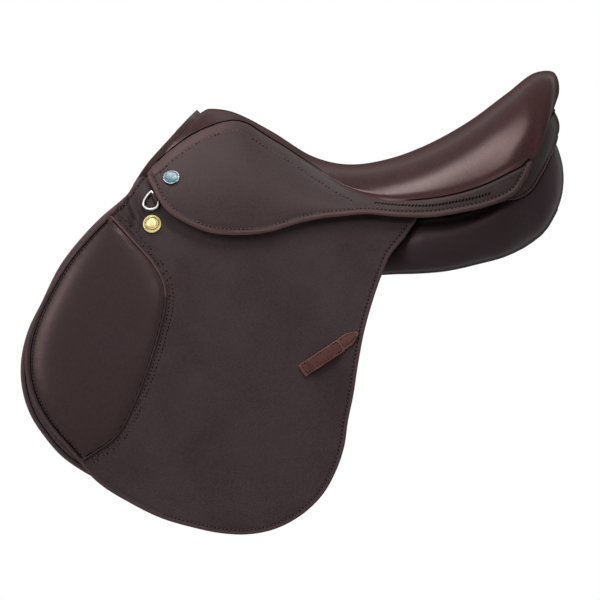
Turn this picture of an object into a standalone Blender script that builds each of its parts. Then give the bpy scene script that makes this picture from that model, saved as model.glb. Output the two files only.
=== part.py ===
"""Pony jumping saddle, 16 inch seat, forward cut.

Lengths are millimetres until a point becomes a vertex. +X runs from the pommel to the cantle,
-Y is the near (left) side and +Z is up. The origin lies on the centre line, below the lowest
point of the seat, at the height where the rear of the panel bears on the back.
"""

import math

import bmesh
import bpy
import numpy as np
from mathutils import Matrix, Vector

MM = 0.001
SIDES = {"left": -1.0, "right": 1.0}

# Seat: centre line x and z, seam x, y and z, roundness across, depth of the foam at the centre.
SEAT_STATIONS = (
    (-153.5, 168.0, -198.0, 74.0, 118.5, 2.2, 7.0),
    (-146.0, 170.5, -164.0, 55.0, 143.5, 2.2, 8.0),
    (-122.0, 166.0, -120.0, 43.0, 158.0, 2.2, 13.0),
    (-84.0, 147.0, -84.0, 45.0, 140.0, 2.1, 23.0),
    (-37.0, 120.6, -37.0, 55.0, 110.0, 2.2, 23.0),
    (0.0, 113.4, 0.0, 80.0, 86.5, 2.6, 24.0),
    (42.0, 119.6, 40.0, 106.0, 74.5, 3.0, 28.0),
    (83.0, 135.0, 83.0, 122.0, 75.5, 3.0, 32.0),
    (125.0, 158.5, 125.0, 127.0, 84.5, 2.9, 34.0),
    (165.0, 188.0, 165.0, 120.0, 102.0, 2.7, 32.0),
    (195.5, 210.0, 190.0, 109.0, 117.5, 2.4, 20.0),
    (214.0, 210.5, 201.0, 97.0, 138.0, 2.2, 12.0),
    (220.0, 188.0, 210.0, 70.0, 161.0, 2.2, 7.5),
    (213.5, 172.5, 212.5, 48.0, 169.0, 2.0, 6.5),
)
SEAT_ROWS = 28
SEAT_COLUMNS = 14
SEAT_LEATHER = 3.0
SEAT_SKIVED = 1.0
FOAM_GAP = 0.6
FOAM_COLUMNS = 6
WEB_HALF_WIDTH = 28.0
WEB_THICKNESS = 1.6
WEB_GAP = 1.2
WEB_ROWS = (5, 20)

# Side surface: half width of the saddle 60 mm above the origin, from front to rear.
SIDE_LEVEL = 60.0
SIDE_WIDTH_X = (-345.0, -300.0, -240.0, -200.0, -150.0, -100.0, -50.0, 0.0, 50.0, 100.0, 140.0, 170.0, 200.0)
SIDE_WIDTH_Y = (91.0, 95.0, 99.5, 103.0, 107.0, 109.0, 110.0, 111.0, 114.0, 123.0, 125.0, 119.0, 110.0)
SIDE_SLOPE = 0.30
SIDE_CURVE = 0.00015
NOSE_SEAM = (-213.0, 86.0, 104.0)

# Layers of leather, counted outwards from the flap's outer face.
SKIRT_GAP = 5.5
SKIRT_THICKNESS = 4.0
SKIRT_OUT = SKIRT_GAP + SKIRT_THICKNESS
SEAM_GAP = 2.4
FLAP_THICKNESS = 4.2
SWEAT_DEPTH = 14.0
SWEAT_BLOCK_DEPTH = 14.0
SWEAT_BLOCK_X = (-180.0, -300.0)
SWEAT_THICKNESS = 3.0
BLOCK_GAP = 1.2

# Line about which the flap and the skirt's lobe bend, as x and z at its two ends.
HINGE_FRONT = (-205.0, 90.0)
HINGE_REAR = (25.0, 64.0)
HINGE_SEAT_GAP = 1.2
HINGE_LOBE_GAP = 0.6
FLAP_TOP = 1.5

# Outlines on the side surface, as x and z.
SKIRT_NOSE = ((-199.0, 116.0), (-206.0, 109.5), (-211.0, 103.0), (-208.0, 93.5))
LOBE_EDGE = (
    (-206.0, 89.0), (-201.0, 78.0), (-190.0, 63.5), (-170.5, 51.0), (-148.5, 41.8), (-116.5, 38.5),
    (-85.0, 41.5), (-53.0, 51.0), (-29.0, 56.0), (-10.5, 58.0), (15.0, 60.3),
)
TAIL_EDGE = (
    (16.5, 60.5), (51.0, 57.5), (86.0, 57.2), (113.5, 61.5), (140.5, 67.6), (158.0, 73.8), (173.5, 83.2),
    (181.5, 94.5), (189.0, 110.0),
)
FLAP_EDGE = (
    (-222.0, 91.5), (-230.0, 82.0), (-240.0, 71.8), (-255.5, 57.5), (-272.5, 39.5), (-294.5, 12.0),
    (-315.0, -21.0), (-329.0, -50.0), (-337.0, -78.0), (-337.0, -106.0), (-329.5, -133.0),
    (-311.5, -162.0), (-289.0, -187.0), (-262.0, -217.5), (-227.8, -239.2), (-195.5, -254.8),
    (-163.3, -264.2), (-132.1, -270.4), (-106.1, -271.4), (-79.0, -266.2), (-46.8, -248.6),
    (-28.1, -229.8), (-15.6, -208.0), (-6.2, -181.0), (-2.1, -153.9), (3.1, -129.0), (8.3, -95.7),
    (14.6, -62.4), (23.9, -29.1), (33.3, -2.0), (41.6, 17.7), (56.2, 36.0), (69.0, 55.0),
)
SWEAT_TOP = ((-231.0, 83.0), (-180.0, 62.0), (-100.0, 42.0), (0.0, 26.0), (38.0, 19.0))
SWEAT_EDGE = (
    (-233.0, 80.5), (-239.2, 74.9), (-260.0, 57.2), (-280.8, 35.4), (-301.6, 8.3), (-322.4, -33.3),
    (-334.0, -57.0), (-342.5, -92.0), (-342.5, -112.0), (-332.8, -147.7), (-317.0, -172.0),
    (-299.0, -192.0), (-279.0, -206.0), (-250.0, -221.0), (-222.0, -233.0), (-192.0, -247.0),
    (-160.0, -256.0), (-130.0, -262.0), (-106.0, -263.0), (-81.0, -257.0), (-52.0, -242.0),
    (-35.0, -222.0), (-23.0, -198.0), (-13.0, -160.0), (-5.0, -115.0), (6.0, -62.0), (22.0, -12.0),
    (36.0, 16.0),
)
INSERT_FRONT = (
    (-251.0, 58.5), (-270.0, 37.4), (-292.0, 11.4), (-312.0, -21.8), (-324.5, -47.8), (-333.0, -77.0),
    (-333.0, -103.0), (-326.0, -131.0), (-308.5, -160.0), (-287.0, -184.0), (-277.5, -195.5),
)
INSERT_REAR = (
    (-249.0, 59.5), (-223.6, 30.2), (-201.8, 4.2), (-193.0, -14.0), (-192.0, -30.5), (-197.6, -59.3),
    (-211.1, -103.0), (-223.6, -135.2), (-241.3, -168.5), (-275.5, -195.5),
)
INSERT_PUFF = 7.0
INSERT_EDGE = 1.4

# Tree: inner and outer edge of each rail's upper face, front to cantle centre.
RAIL_INNER = (
    (-128.0, 34.0, 134.0), (-104.0, 41.0, 119.0), (-60.0, 43.0, 100.0), (-10.0, 46.0, 85.0),
    (40.0, 54.0, 83.0), (90.0, 62.0, 93.0), (130.0, 58.0, 110.0), (158.0, 42.0, 128.0),
    (177.0, 20.0, 143.0), (181.0, 0.0, 147.0),
)
RAIL_OUTER = (
    (-150.0, 64.0, 106.0), (-106.0, 65.0, 97.0), (-60.0, 74.0, 80.0), (-10.0, 86.0, 69.0),
    (40.0, 97.0, 66.0), (90.0, 107.0, 71.0), (134.0, 103.0, 84.0), (170.0, 87.0, 106.0),
    (193.5, 46.0, 149.0), (198.0, 0.0, 169.0),
)
RAIL_THICKNESS = 9.0
ARCH_PATH = (
    (-229.0, 77.5, 22.0), (-207.0, 71.5, 58.0), (-182.0, 61.0, 95.0), (-158.0, 42.0, 124.0),
    (-145.5, 20.0, 140.0), (-143.0, 0.0, 143.0),
)
ARCH_WIDTH = 26.0
ARCH_THICKNESS = 11.0
ARCH_LEAN = (0.83, 0.0, -0.56)
PLATE_THICKNESS = 2.2
PLATE_GAP = 0.4
RAIL_GAP = 1.6

# Stirrup bar: plan outline about its own centre line, and its height above the origin.
BAR_Z = (90.0, 100.0)
BAR_REACH = (-183.0, -104.0)
BAR_BLADE_Y = (79.3, 85.8)
BAR_PLATE_Y = (70.0, 72.8)
BAR_ARM = 9.0
BAR_PLATE_END = -112.0
CATCH_LENGTH = 16.0
PIN_RADIUS = 1.4
PIN_PLACE = (-99.0, 95.0)

# Panel cushion: x, centre y and z, half length, half thickness, slope in degrees (outer side down).
PANEL_STATIONS = (
    (-226.0, 59.0, 24.0, 32.0, 7.0, 72.0),
    (-205.0, 61.0, 20.0, 46.0, 10.5, 70.0),
    (-155.0, 66.0, 21.0, 52.0, 16.0, 60.0),
    (-100.0, 64.0, 24.0, 49.0, 19.5, 50.0),
    (-40.0, 61.0, 24.0, 44.0, 21.5, 36.0),
    (20.0, 61.0, 22.0, 42.0, 22.5, 16.0),
    (48.0, 66.0, 23.0, 46.0, 23.5, 8.0),
    (76.0, 76.0, 27.0, 50.0, 27.5, 4.0),
    (104.0, 76.5, 30.5, 49.5, 28.5, 4.0),
    (134.0, 74.0, 39.5, 47.0, 31.5, 4.0),
    (165.0, 69.5, 53.5, 41.5, 37.0, 6.0),
    (190.0, 60.0, 69.5, 34.0, 39.5, 14.0),
    (206.0, 53.0, 87.0, 39.5, 24.0, 63.0),
    (216.0, 46.5, 97.5, 34.0, 17.0, 66.0),
    (222.0, 44.5, 97.0, 20.0, 10.0, 68.0),
)
PANEL_ROWS = 24
PANEL_AROUND = 18
PANEL_SQUARENESS = 2.6

# Facings, as x, y and z of their two edges.
FACING_FRONT_Z = (82.0, 90.5, 106.0, 121.7, 137.3, 149.8, 171.0)
FACING_FRONT_X = (-231.5, -226.7, -218.4, -205.9, -190.3, -181.0, -160.0)
FACING_OUTER = ((77.0, 91.0), (81.5, 106.0), (76.0, 121.0), (64.0, 136.5), (52.0, 148.0), (37.0, 159.5), (0.0, 171.0))
FACING_INNER = ((66.0, 91.0), (62.5, 98.5), (55.0, 110.0), (44.0, 122.0), (32.0, 132.0), (20.0, 137.5), (0.0, 140.5))
FACING_THICKNESS = 6.6
CANTLE_UPPER = (
    (152.0, 124.0, 78.0), (176.0, 112.0, 97.0), (187.0, 104.0, 113.0), (195.0, 93.0, 132.0),
    (203.0, 75.0, 150.0), (208.0, 52.0, 163.0), (209.5, 27.0, 169.0), (210.0, 0.0, 171.5),
)
CANTLE_LOWER = (
    (148.0, 125.0, 68.0), (174.0, 115.0, 75.0), (189.0, 103.0, 84.0), (200.0, 91.0, 100.0),
    (209.0, 74.0, 117.5), (215.0, 50.0, 131.0), (217.5, 24.0, 137.5), (218.0, 0.0, 139.0),
)
CANTLE_THICKNESS = 4.5

# Girth straps: their middle lines, front to rear, and the size of one strap.
STRAP_NAMES = ("front", "middle", "rear")
STRAP_X = (-109.0, -76.0, -43.0)
STRAP_TOP = 40.0
STRAP_PIVOT = 32.0
STRAP_BOTTOM = -212.0
STRAP_WIDTH = 25.0
STRAP_THICKNESS = 3.0
STRAP_TIP = 18.0
STRAP_TOP_OFFSET = 8.2
STRAP_FOOT_OFFSET = 9.6
GIRTH_WEB_TOP_X = (-76.0, -30.0)
GIRTH_WEB_FOOT_X = (-122.0, -30.0)
GIRTH_WEB_THICKNESS = 1.4

# Fittings on the flap and the skirt.
NAIL_PLACE = (-186.0, 98.5)
NAIL_RADIUS = 8.2
STUD_PLACE = (-206.0, 50.0)
STUD_RADIUS = 9.6
RING_TOP = (-207.5, 87.0)
RING_FOOT = (-197.5, 69.5)
RING_REACH = 13.0
RING_WIRE = 1.4
KEEPER_ENDS = ((-50.0, -102.5), (-9.0, -75.5))
KEEPER_WIDTH = 14.0
KEEPER_RISE = 3.6
KEEPER_THICKNESS = 2.2
TAB_PLACE = (-1.5, -68.0)

COLOURS = {
    "saddle_leather": ((0.062, 0.044, 0.046, 1.0), 0.55, 0.0),
    "seat_calf": ((0.085, 0.048, 0.050, 1.0), 0.38, 0.0),
    "flap_leather": ((0.055, 0.044, 0.044, 1.0), 0.62, 0.0),
    "keeper_leather": ((0.120, 0.038, 0.030, 1.0), 0.45, 0.0),
    "panel_leather": ((0.042, 0.033, 0.037, 1.0), 0.45, 0.0),
    "tree_beech": ((0.58, 0.40, 0.22, 1.0), 0.6, 0.0),
    "steel": ((0.55, 0.56, 0.57, 1.0), 0.35, 1.0),
    "nickel": ((0.78, 0.78, 0.76, 1.0), 0.2, 1.0),
    "brass": ((0.80, 0.66, 0.30, 1.0), 0.3, 1.0),
    "enamel": ((0.10, 0.30, 0.36, 1.0), 0.25, 0.0),
    "webbing": ((0.62, 0.58, 0.48, 1.0), 0.85, 0.0),
    "foam": ((0.72, 0.68, 0.55, 1.0), 0.9, 0.0),
}


class Spline:
    """Smooth curve through key points, read by its share 0 to 1 of the chord length."""

    def __init__(self, keys):
        self.keys = np.array(keys, float)
        steps = np.linalg.norm(np.diff(self.keys, axis=0), axis=1)
        self.knots = np.concatenate(([0.0], np.cumsum(steps)))
        self.slopes = self._slopes()

    def _slopes(self):
        widths = np.diff(self.knots)[:, None]
        chords = np.diff(self.keys, axis=0) / widths
        slopes = np.empty_like(self.keys)
        slopes[0], slopes[-1] = chords[0], chords[-1]
        slopes[1:-1] = (chords[:-1] * widths[1:] + chords[1:] * widths[:-1]) / (widths[1:] + widths[:-1])
        return slopes

    def at(self, share):
        """The point at a share of the length, by a cubic between its two keys."""
        place = min(max(share, 0.0), 1.0) * self.knots[-1]
        i = min(int(np.searchsorted(self.knots, place, side="right")) - 1, len(self.keys) - 2)
        width = self.knots[i + 1] - self.knots[i]
        t = (place - self.knots[i]) / width
        a, b = self.keys[i], self.keys[i + 1]
        m, n = self.slopes[i] * width, self.slopes[i + 1] * width
        rise = t * t * (3.0 - 2.0 * t)
        return a + (b - a) * rise + m * (t * (1.0 - t) ** 2) - n * (t * t * (1.0 - t))

    def points(self, count):
        """Count points at even shares of the length."""
        return [self.at(i / (count - 1)) for i in range(count)]


SEAT = Spline(SEAT_STATIONS)
SEAM = np.array([NOSE_SEAM] + [SEAT.at(i / 400.0)[2:5] for i in range(401)])
SEAM = SEAM[: int(np.argmax(SEAM[:, 0] > 189.0))]


def smooth_step(value, start, end):
    """0 at start, 1 at end and beyond, with level ends."""
    t = min(max((value - start) / (end - start), 0.0), 1.0)
    return t * t * (3.0 - 2.0 * t)


def side_y(x, z):
    """Distance of the flap's outer face from the centre plane."""
    level = float(np.interp(x, SIDE_WIDTH_X, SIDE_WIDTH_Y))
    if z <= SIDE_LEVEL:
        drop = SIDE_LEVEL - z
        return level + SIDE_SLOPE * drop - SIDE_CURVE * drop * drop
    top = float(np.interp(x, SEAM[:, 0], SEAM[:, 2])) - SIDE_LEVEL
    inner = float(np.interp(x, SEAM[:, 0], SEAM[:, 1])) - SKIRT_OUT
    bend = (level - inner - SIDE_SLOPE * top) / top**2
    rise = z - SIDE_LEVEL
    return level - SIDE_SLOPE * rise - bend * rise * rise


def sweat_depth(x):
    """Depth of the sweat flap's outer face below the flap's, more where the knee block sits."""
    return SWEAT_DEPTH + SWEAT_BLOCK_DEPTH * smooth_step(x, *SWEAT_BLOCK_X)


def hinge_z(x):
    """Height of the bending line at x."""
    (x0, z0), (x1, z1) = HINGE_FRONT, HINGE_REAR
    return z0 + (z1 - z0) * (x - x0) / (x1 - x0)


def hinge_point(place):
    """The bending line's end at place, on the skirt's outer face."""
    x, z = place
    return Vector((x, side_y(x, z) + SKIRT_OUT + 0.2, z))


def seat_point(u, v):
    """Outer face of the seat, u from pommel to the roll's rear seam, v across from -1 to 1."""
    cx, cz, ex, ey, ez, power, _ = SEAT.at(u)
    across = abs(v)
    return Vector((ex + (cx - ex) * (1.0 - across**2), ey * v, ez + (cz - ez) * (1.0 - across**power)))


def seat_inside(u, v, depth):
    """The point that lies depth below seat_point, square to the surface."""
    step = 0.004
    along = seat_point(min(u + step, 1.0), v) - seat_point(max(u - step, 0.0), v)
    over = seat_point(u, min(v + step, 1.0)) - seat_point(u, max(v - step, -1.0))
    return seat_point(u, v) - along.cross(over).normalized() * depth


def foam_depth(u, v):
    """Depth of the foam's lower face below the seat's outer face."""
    return SEAT_LEATHER + FOAM_GAP + (SEAT.at(u)[6] - SEAT_LEATHER - FOAM_GAP) * (1.0 - abs(v) ** 1.5)


def material(name):
    """The named material, made once."""
    found = bpy.data.materials.get(name)
    if found:
        return found
    colour, roughness, metallic = COLOURS[name]
    made = bpy.data.materials.new(name)
    made.use_nodes = True
    shader = made.node_tree.nodes["Principled BSDF"]
    shader.inputs["Base Color"].default_value = colour
    shader.inputs["Roughness"].default_value = roughness
    shader.inputs["Metallic"].default_value = metallic
    made.diffuse_color = colour
    return made


def add_object(name, bm, finish, smooth_angle=40.0, origin=(0.0, 0.0, 0.0)):
    """An object in metres from a bmesh in millimetres, with its origin at the given point."""
    bm.normal_update()
    bmesh.ops.recalc_face_normals(bm, faces=bm.faces)
    bm.transform(Matrix.Scale(MM, 4) @ Matrix.Translation(-Vector(origin)))
    mesh = bpy.data.meshes.new(name)
    bm.to_mesh(mesh)
    bm.free()
    mesh.shade_smooth()
    mesh.set_sharp_from_angle(angle=math.radians(smooth_angle))
    mesh.materials.append(material(finish))
    made = bpy.data.objects.new(name, mesh)
    made.location = Vector(origin) * MM
    bpy.context.collection.objects.link(made)
    return made


def shell_mesh(outer, inner):
    """One closed body between two grids of points that have the same rows and columns."""
    bm = bmesh.new()
    rows, columns = len(outer), len(outer[0])
    grids = [[[bm.verts.new(p) for p in row] for row in grid] for grid in (outer, inner)]
    for grid in grids:
        for i in range(rows - 1):
            for j in range(columns - 1):
                bm.faces.new((grid[i][j], grid[i + 1][j], grid[i + 1][j + 1], grid[i][j + 1]))
    border = [(i, 0) for i in range(rows)] + [(rows - 1, j) for j in range(1, columns)]
    border += [(i, columns - 1) for i in range(rows - 2, -1, -1)] + [(0, j) for j in range(columns - 2, 0, -1)]
    for (i, j), (k, m) in zip(border, border[1:] + border[:1]):
        bm.faces.new((grids[0][i][j], grids[0][k][m], grids[1][k][m], grids[1][i][j]))
    return bm


def grid_below(grid, depth):
    """The grid moved by depth against its own normals; depth may be a function of row and column."""
    rows, columns = len(grid), len(grid[0])
    moved = []
    for i in range(rows):
        line = []
        for j in range(columns):
            along = grid[min(i + 1, rows - 1)][j] - grid[max(i - 1, 0)][j]
            over = grid[i][min(j + 1, columns - 1)] - grid[i][max(j - 1, 0)]
            normal = along.cross(over).normalized()
            line.append(grid[i][j] - normal * (depth(i, j) if callable(depth) else depth))
        moved.append(line)
    return moved


def side_sheet(side, top, bottom, rows, columns, outer_offset, inner_offset):
    """Leather sheet on the side surface between two outlines, given as x and z.

    The offsets, counted outwards from the flap's outer face, are functions of x, z and the
    shares along and down the sheet.
    """
    tops, bottoms = Spline(top).points(rows), Spline(bottom).points(rows)
    faces = ([], [])
    for i in range(rows):
        lines = ([], [])
        for j in range(columns):
            share = j / (columns - 1)
            x, z = tops[i] + (bottoms[i] - tops[i]) * share
            for line, offset in zip(lines, (outer_offset, inner_offset)):
                y = side_y(x, z) + offset(x, z, i / (rows - 1), share)
                line.append(Vector((x, side * y, z)))
        faces[0].append(lines[0])
        faces[1].append(lines[1])
    return shell_mesh(*faces)


def flat(value):
    """An offset that is the same all over a sheet."""
    return lambda x, z, along, down: value


def tube_section(half_width, half_height, around, squareness):
    """Points round a squared ellipse."""
    points = []
    for i in range(around):
        angle = 2.0 * math.pi * i / around
        c, s = math.cos(angle), math.sin(angle)
        points.append((
            half_width * math.copysign(abs(c) ** (2.0 / squareness), c),
            half_height * math.copysign(abs(s) ** (2.0 / squareness), s),
        ))
    return points


def loft_mesh(rings):
    """One closed body through rings of points, with a flat face at each end."""
    bm = bmesh.new()
    loops = [[bm.verts.new(p) for p in ring] for ring in rings]
    for a, b in zip(loops, loops[1:]):
        for i in range(len(a)):
            k = (i + 1) % len(a)
            bm.faces.new((a[i], a[k], b[k], b[i]))
    bm.faces.new(loops[0])
    bm.faces.new(loops[-1][::-1])
    return bm


def mirrored(points):
    """A half path that ends on the centre plane, carried on to the other side."""
    half = [Vector(p) for p in points]
    return half + [Vector((p.x, -p.y, p.z)) for p in reversed(half[:-1])]


def band_mesh(path, width, thickness, offset=0.0):
    """Flat bar along a path; its width lies along the arch's lean, its thickness across the path."""
    lean = Vector(ARCH_LEAN).normalized()
    rings = []
    for i, point in enumerate(path):
        ahead = path[min(i + 1, len(path) - 1)] - path[max(i - 1, 0)]
        out = lean.cross(ahead).normalized()
        if out.z < 0.0:
            out.negate()
        middle = point + out * offset
        half = thickness / 2.0
        rings.append([
            middle + lean * (a * width / 2.0) + out * (b * half)
            for a, b in ((-1, -1), (1, -1), (1, 1), (-1, 1))
        ])
    return loft_mesh(rings)


def prism_mesh(outline, low, high):
    """An outline of points, raised from one level to another along +Z."""
    bm = bmesh.new()
    face = bm.faces.new([bm.verts.new((x, y, low)) for x, y in outline])
    raised = bmesh.ops.extrude_face_region(bm, geom=[face])
    corners = [item for item in raised["geom"] if isinstance(item, bmesh.types.BMVert)]
    bmesh.ops.translate(bm, verts=corners, vec=(0.0, 0.0, high - low))
    return bm


def arc(centre, radius, start, end, steps):
    """Points of an arc in a plane, angles in degrees."""
    angles = [math.radians(start + (end - start) * i / steps) for i in range(steps + 1)]
    return [(centre[0] + radius * math.cos(a), centre[1] + radius * math.sin(a)) for a in angles]


def cylinder_mesh(start, end, radius, segments=16):
    """A round bar between two points."""
    start, end = Vector(start), Vector(end)
    bm = bmesh.new()
    turn = (end - start).to_track_quat("Z", "Y").to_matrix().to_4x4()
    place = Matrix.Translation((start + end) / 2.0) @ turn
    bmesh.ops.create_cone(
        bm, cap_ends=True, segments=segments, radius1=radius, radius2=radius,
        depth=(end - start).length, matrix=place,
    )
    return bm


def cut(target, cutter_bm, name):
    """Takes a cutter's volume out of the target."""
    cutter = add_object(name, cutter_bm, "steel", origin=(0.0, 0.0, 0.0))
    cutter.hide_render = True
    cutter.display_type = "WIRE"
    modifier = target.modifiers.new(name, "BOOLEAN")
    modifier.operation = "DIFFERENCE"
    modifier.object = cutter
    return modifier


def side_frame(side, place, offset):
    """Position and outward direction on the side surface at x and z."""
    x, z = place
    step = 1.0
    y = side_y(x, z)
    slope_x = (side_y(x + step, z) - side_y(x - step, z)) / (2.0 * step)
    slope_z = (side_y(x, z + step) - side_y(x, z - step)) / (2.0 * step)
    outward = Vector((-slope_x, 1.0, -slope_z)).normalized()
    point = Vector((x, y, z)) + outward * offset
    return Vector((point.x, side * point.y, point.z)), Vector((outward.x, side * outward.y, outward.z))


def button_mesh(side, place, offset, radius, height, segments=20):
    """Domed round button turned about the surface's outward direction."""
    point, outward = side_frame(side, place, offset)
    profile = ((1.0, 0.0), (1.0, 0.45), (0.93, 0.72), (0.72, 0.9), (0.36, 1.0))
    turn = Matrix.Translation(point) @ outward.to_track_quat("Z", "Y").to_matrix().to_4x4()
    rings = []
    for share, level in profile:
        circle = arc((0.0, 0.0), radius * share, 0.0, 360.0, segments)[:-1]
        rings.append([turn @ Vector((a, b, height * level)) for a, b in circle])
    return loft_mesh(rings)


def make_seat():
    """Seat leather, foam and the web they lie on."""
    rows = [i / (SEAT_ROWS - 1) for i in range(SEAT_ROWS)]
    columns = [-1.0 + 2.0 * j / SEAT_COLUMNS for j in range(SEAT_COLUMNS + 1)]
    outer = [[seat_point(u, v) for v in columns] for u in rows]
    inner = [
        [seat_inside(u, v, SEAT_LEATHER - (SEAT_LEATHER - SEAT_SKIVED) * abs(v) ** 6) for v in columns]
        for u in rows
    ]
    add_object("seat_leather", shell_mesh(outer, inner), "seat_calf", 60.0)

    foam_rows = [0.25 * rows[1]] + rows[1:-1]
    foam_columns = [2.0 * j / SEAT_COLUMNS for j in range(-FOAM_COLUMNS, FOAM_COLUMNS + 1)]
    top = [[seat_inside(u, v, SEAT_LEATHER + FOAM_GAP) for v in foam_columns] for u in foam_rows]
    low = [[seat_inside(u, v, foam_depth(u, v)) for v in foam_columns] for u in foam_rows]
    add_object("seat_foam", shell_mesh(top, low), "foam", 60.0)

    upper, lower = [], []
    for u in rows[WEB_ROWS[0]:WEB_ROWS[1]]:
        half = WEB_HALF_WIDTH / SEAT.at(u)[3]
        across = [half * (j / 4.0 - 1.0) for j in range(9)]
        upper.append([seat_inside(u, v, foam_depth(u, v) + WEB_GAP) for v in across])
        lower.append([seat_inside(u, v, foam_depth(u, v) + WEB_GAP + WEB_THICKNESS) for v in across])
    add_object("seat_web", shell_mesh(upper, lower), "webbing")


def make_tree():
    """Beech head arch and seat frame, with their steel plates and spring rails."""
    arch = mirrored(Spline(ARCH_PATH).points(9))
    add_object("tree_head", band_mesh(arch, ARCH_WIDTH, ARCH_THICKNESS), "tree_beech")
    lift = ARCH_THICKNESS / 2.0 + PLATE_GAP + PLATE_THICKNESS / 2.0
    add_object("head_plate", band_mesh(arch[5:-5], ARCH_WIDTH - 4.0, PLATE_THICKNESS, lift), "steel")
    add_object("gullet_plate", band_mesh(arch[2:-2], ARCH_WIDTH - 4.0, PLATE_THICKNESS, -lift), "steel")

    inner = mirrored([Vector(p) for p in Spline(RAIL_INNER).points(15)])
    outer = mirrored([Vector(p) for p in Spline(RAIL_OUTER).points(15)])
    upper = [[b, a.lerp(b, 0.5) + Vector((0.0, 0.0, 1.5)), a] for a, b in zip(outer, inner)]
    lower = grid_below(upper, RAIL_THICKNESS)
    add_object("tree_seat_frame", shell_mesh(upper, lower), "tree_beech")

    for side_name, side in SIDES.items():
        strips = []
        for depth in (RAIL_THICKNESS + RAIL_GAP, RAIL_THICKNESS + RAIL_GAP + PLATE_THICKNESS):
            face = grid_below(upper, depth)
            rows = face[2:11]
            strips.append([[row[1].lerp(row[2], 0.2), row[1].lerp(row[2], 0.85)] for row in rows])
        if side < 0:
            strips = [[[Vector((p.x, -p.y, p.z)) for p in row] for row in strip] for strip in strips]
        add_object(f"spring_rail_{side_name}", shell_mesh(*strips), "steel")


def make_stirrup_bar(side_name, side):
    """Forged stirrup bar, open to the rear, with its safety catch and the catch's pin."""
    front, rear = BAR_REACH
    (plate_in, plate_out), (blade_in, blade_out) = BAR_PLATE_Y, BAR_BLADE_Y
    tongue = ((blade_in + blade_out) / 2.0 - 1.2, (blade_in + blade_out) / 2.0 + 1.2)
    pin_x, pin_z = PIN_PLACE
    corner = 2.5
    outline = [
        (BAR_PLATE_END, plate_in), (BAR_PLATE_END, plate_out), (front + BAR_ARM, plate_out),
        (front + BAR_ARM, blade_in), (rear, blade_in), (rear, tongue[0]), (pin_x + 3.0, tongue[0]),
        (pin_x + 3.0, tongue[1]), (rear, tongue[1]), (rear, blade_out),
    ]
    outline += arc((front + corner, blade_out - corner), corner, 90.0, 180.0, 4)
    outline += arc((front + corner, plate_in + corner), corner, 180.0, 270.0, 4)
    bar_bm = prism_mesh([(x, side * y) for x, y in outline], *BAR_Z)
    bar = add_object(f"stirrup_bar_{side_name}", bar_bm, "steel", 30.0)
    hole_ends = [(pin_x, side * y, pin_z) for y in (blade_in - 4.0, blade_out + 4.0)]
    cut(bar, cylinder_mesh(*hole_ends, PIN_RADIUS + 0.06, 12), f"bar_hole_cutter_{side_name}")

    pin_ends = [(pin_x, side * y, pin_z) for y in (blade_in - 0.6, blade_out + 0.6)]
    add_object(f"catch_pin_{side_name}", cylinder_mesh(*pin_ends, PIN_RADIUS, 12), "steel")

    half = (BAR_Z[1] - BAR_Z[0]) / 2.0 - 0.6
    profile = arc((pin_x, pin_z), half, 90.0, 270.0, 8)
    profile += [(pin_x + CATCH_LENGTH - 4.0, pin_z - 2.6)]
    profile += arc((pin_x + CATCH_LENGTH - 2.6, pin_z), 2.6, -90.0, 90.0, 6)
    bm = prism_mesh(profile, blade_in + 0.2, blade_out - 0.2)
    swap = Matrix(((1, 0, 0, 0), (0, 0, side, 0), (0, 1, 0, 0), (0, 0, 0, 1)))
    bm.transform(swap)
    catch = add_object(f"bar_catch_{side_name}", bm, "steel", 30.0, (pin_x, side * blade_in, pin_z))
    slot = prism_mesh(
        [(pin_x - 12.0, -2.0), (pin_x + 6.4, -2.0), (pin_x + 6.4, 2.0), (pin_x - 12.0, 2.0)],
        pin_z - 12.0, pin_z + 12.0,
    )
    slot.transform(Matrix.Translation((0.0, side * (blade_in + blade_out) / 2.0, 0.0)) @ Matrix.Diagonal((1, 0.78, 1, 1)))
    cut(catch, slot, f"catch_slot_cutter_{side_name}")
    cut(catch, cylinder_mesh(*hole_ends, PIN_RADIUS + 0.2, 12), f"catch_hole_cutter_{side_name}")
    return [catch]


def make_panel(side_name, side):
    """Flocked cushion on one side of the gullet channel."""
    stations = Spline(PANEL_STATIONS)
    rings = []
    for i in range(PANEL_ROWS):
        x, y, z, half_length, half_thickness, slope = stations.at(i / (PANEL_ROWS - 1))
        tilt = math.radians(slope)
        ring = []
        for a, b in tube_section(half_length, half_thickness, PANEL_AROUND, PANEL_SQUARENESS):
            out = a * math.cos(tilt) + b * math.sin(tilt)
            up = -a * math.sin(tilt) + b * math.cos(tilt)
            ring.append(Vector((x, side * (y + out), z + up)))
        rings.append(ring)
    add_object(f"panel_{side_name}", loft_mesh(rings), "panel_leather", 50.0)


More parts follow.
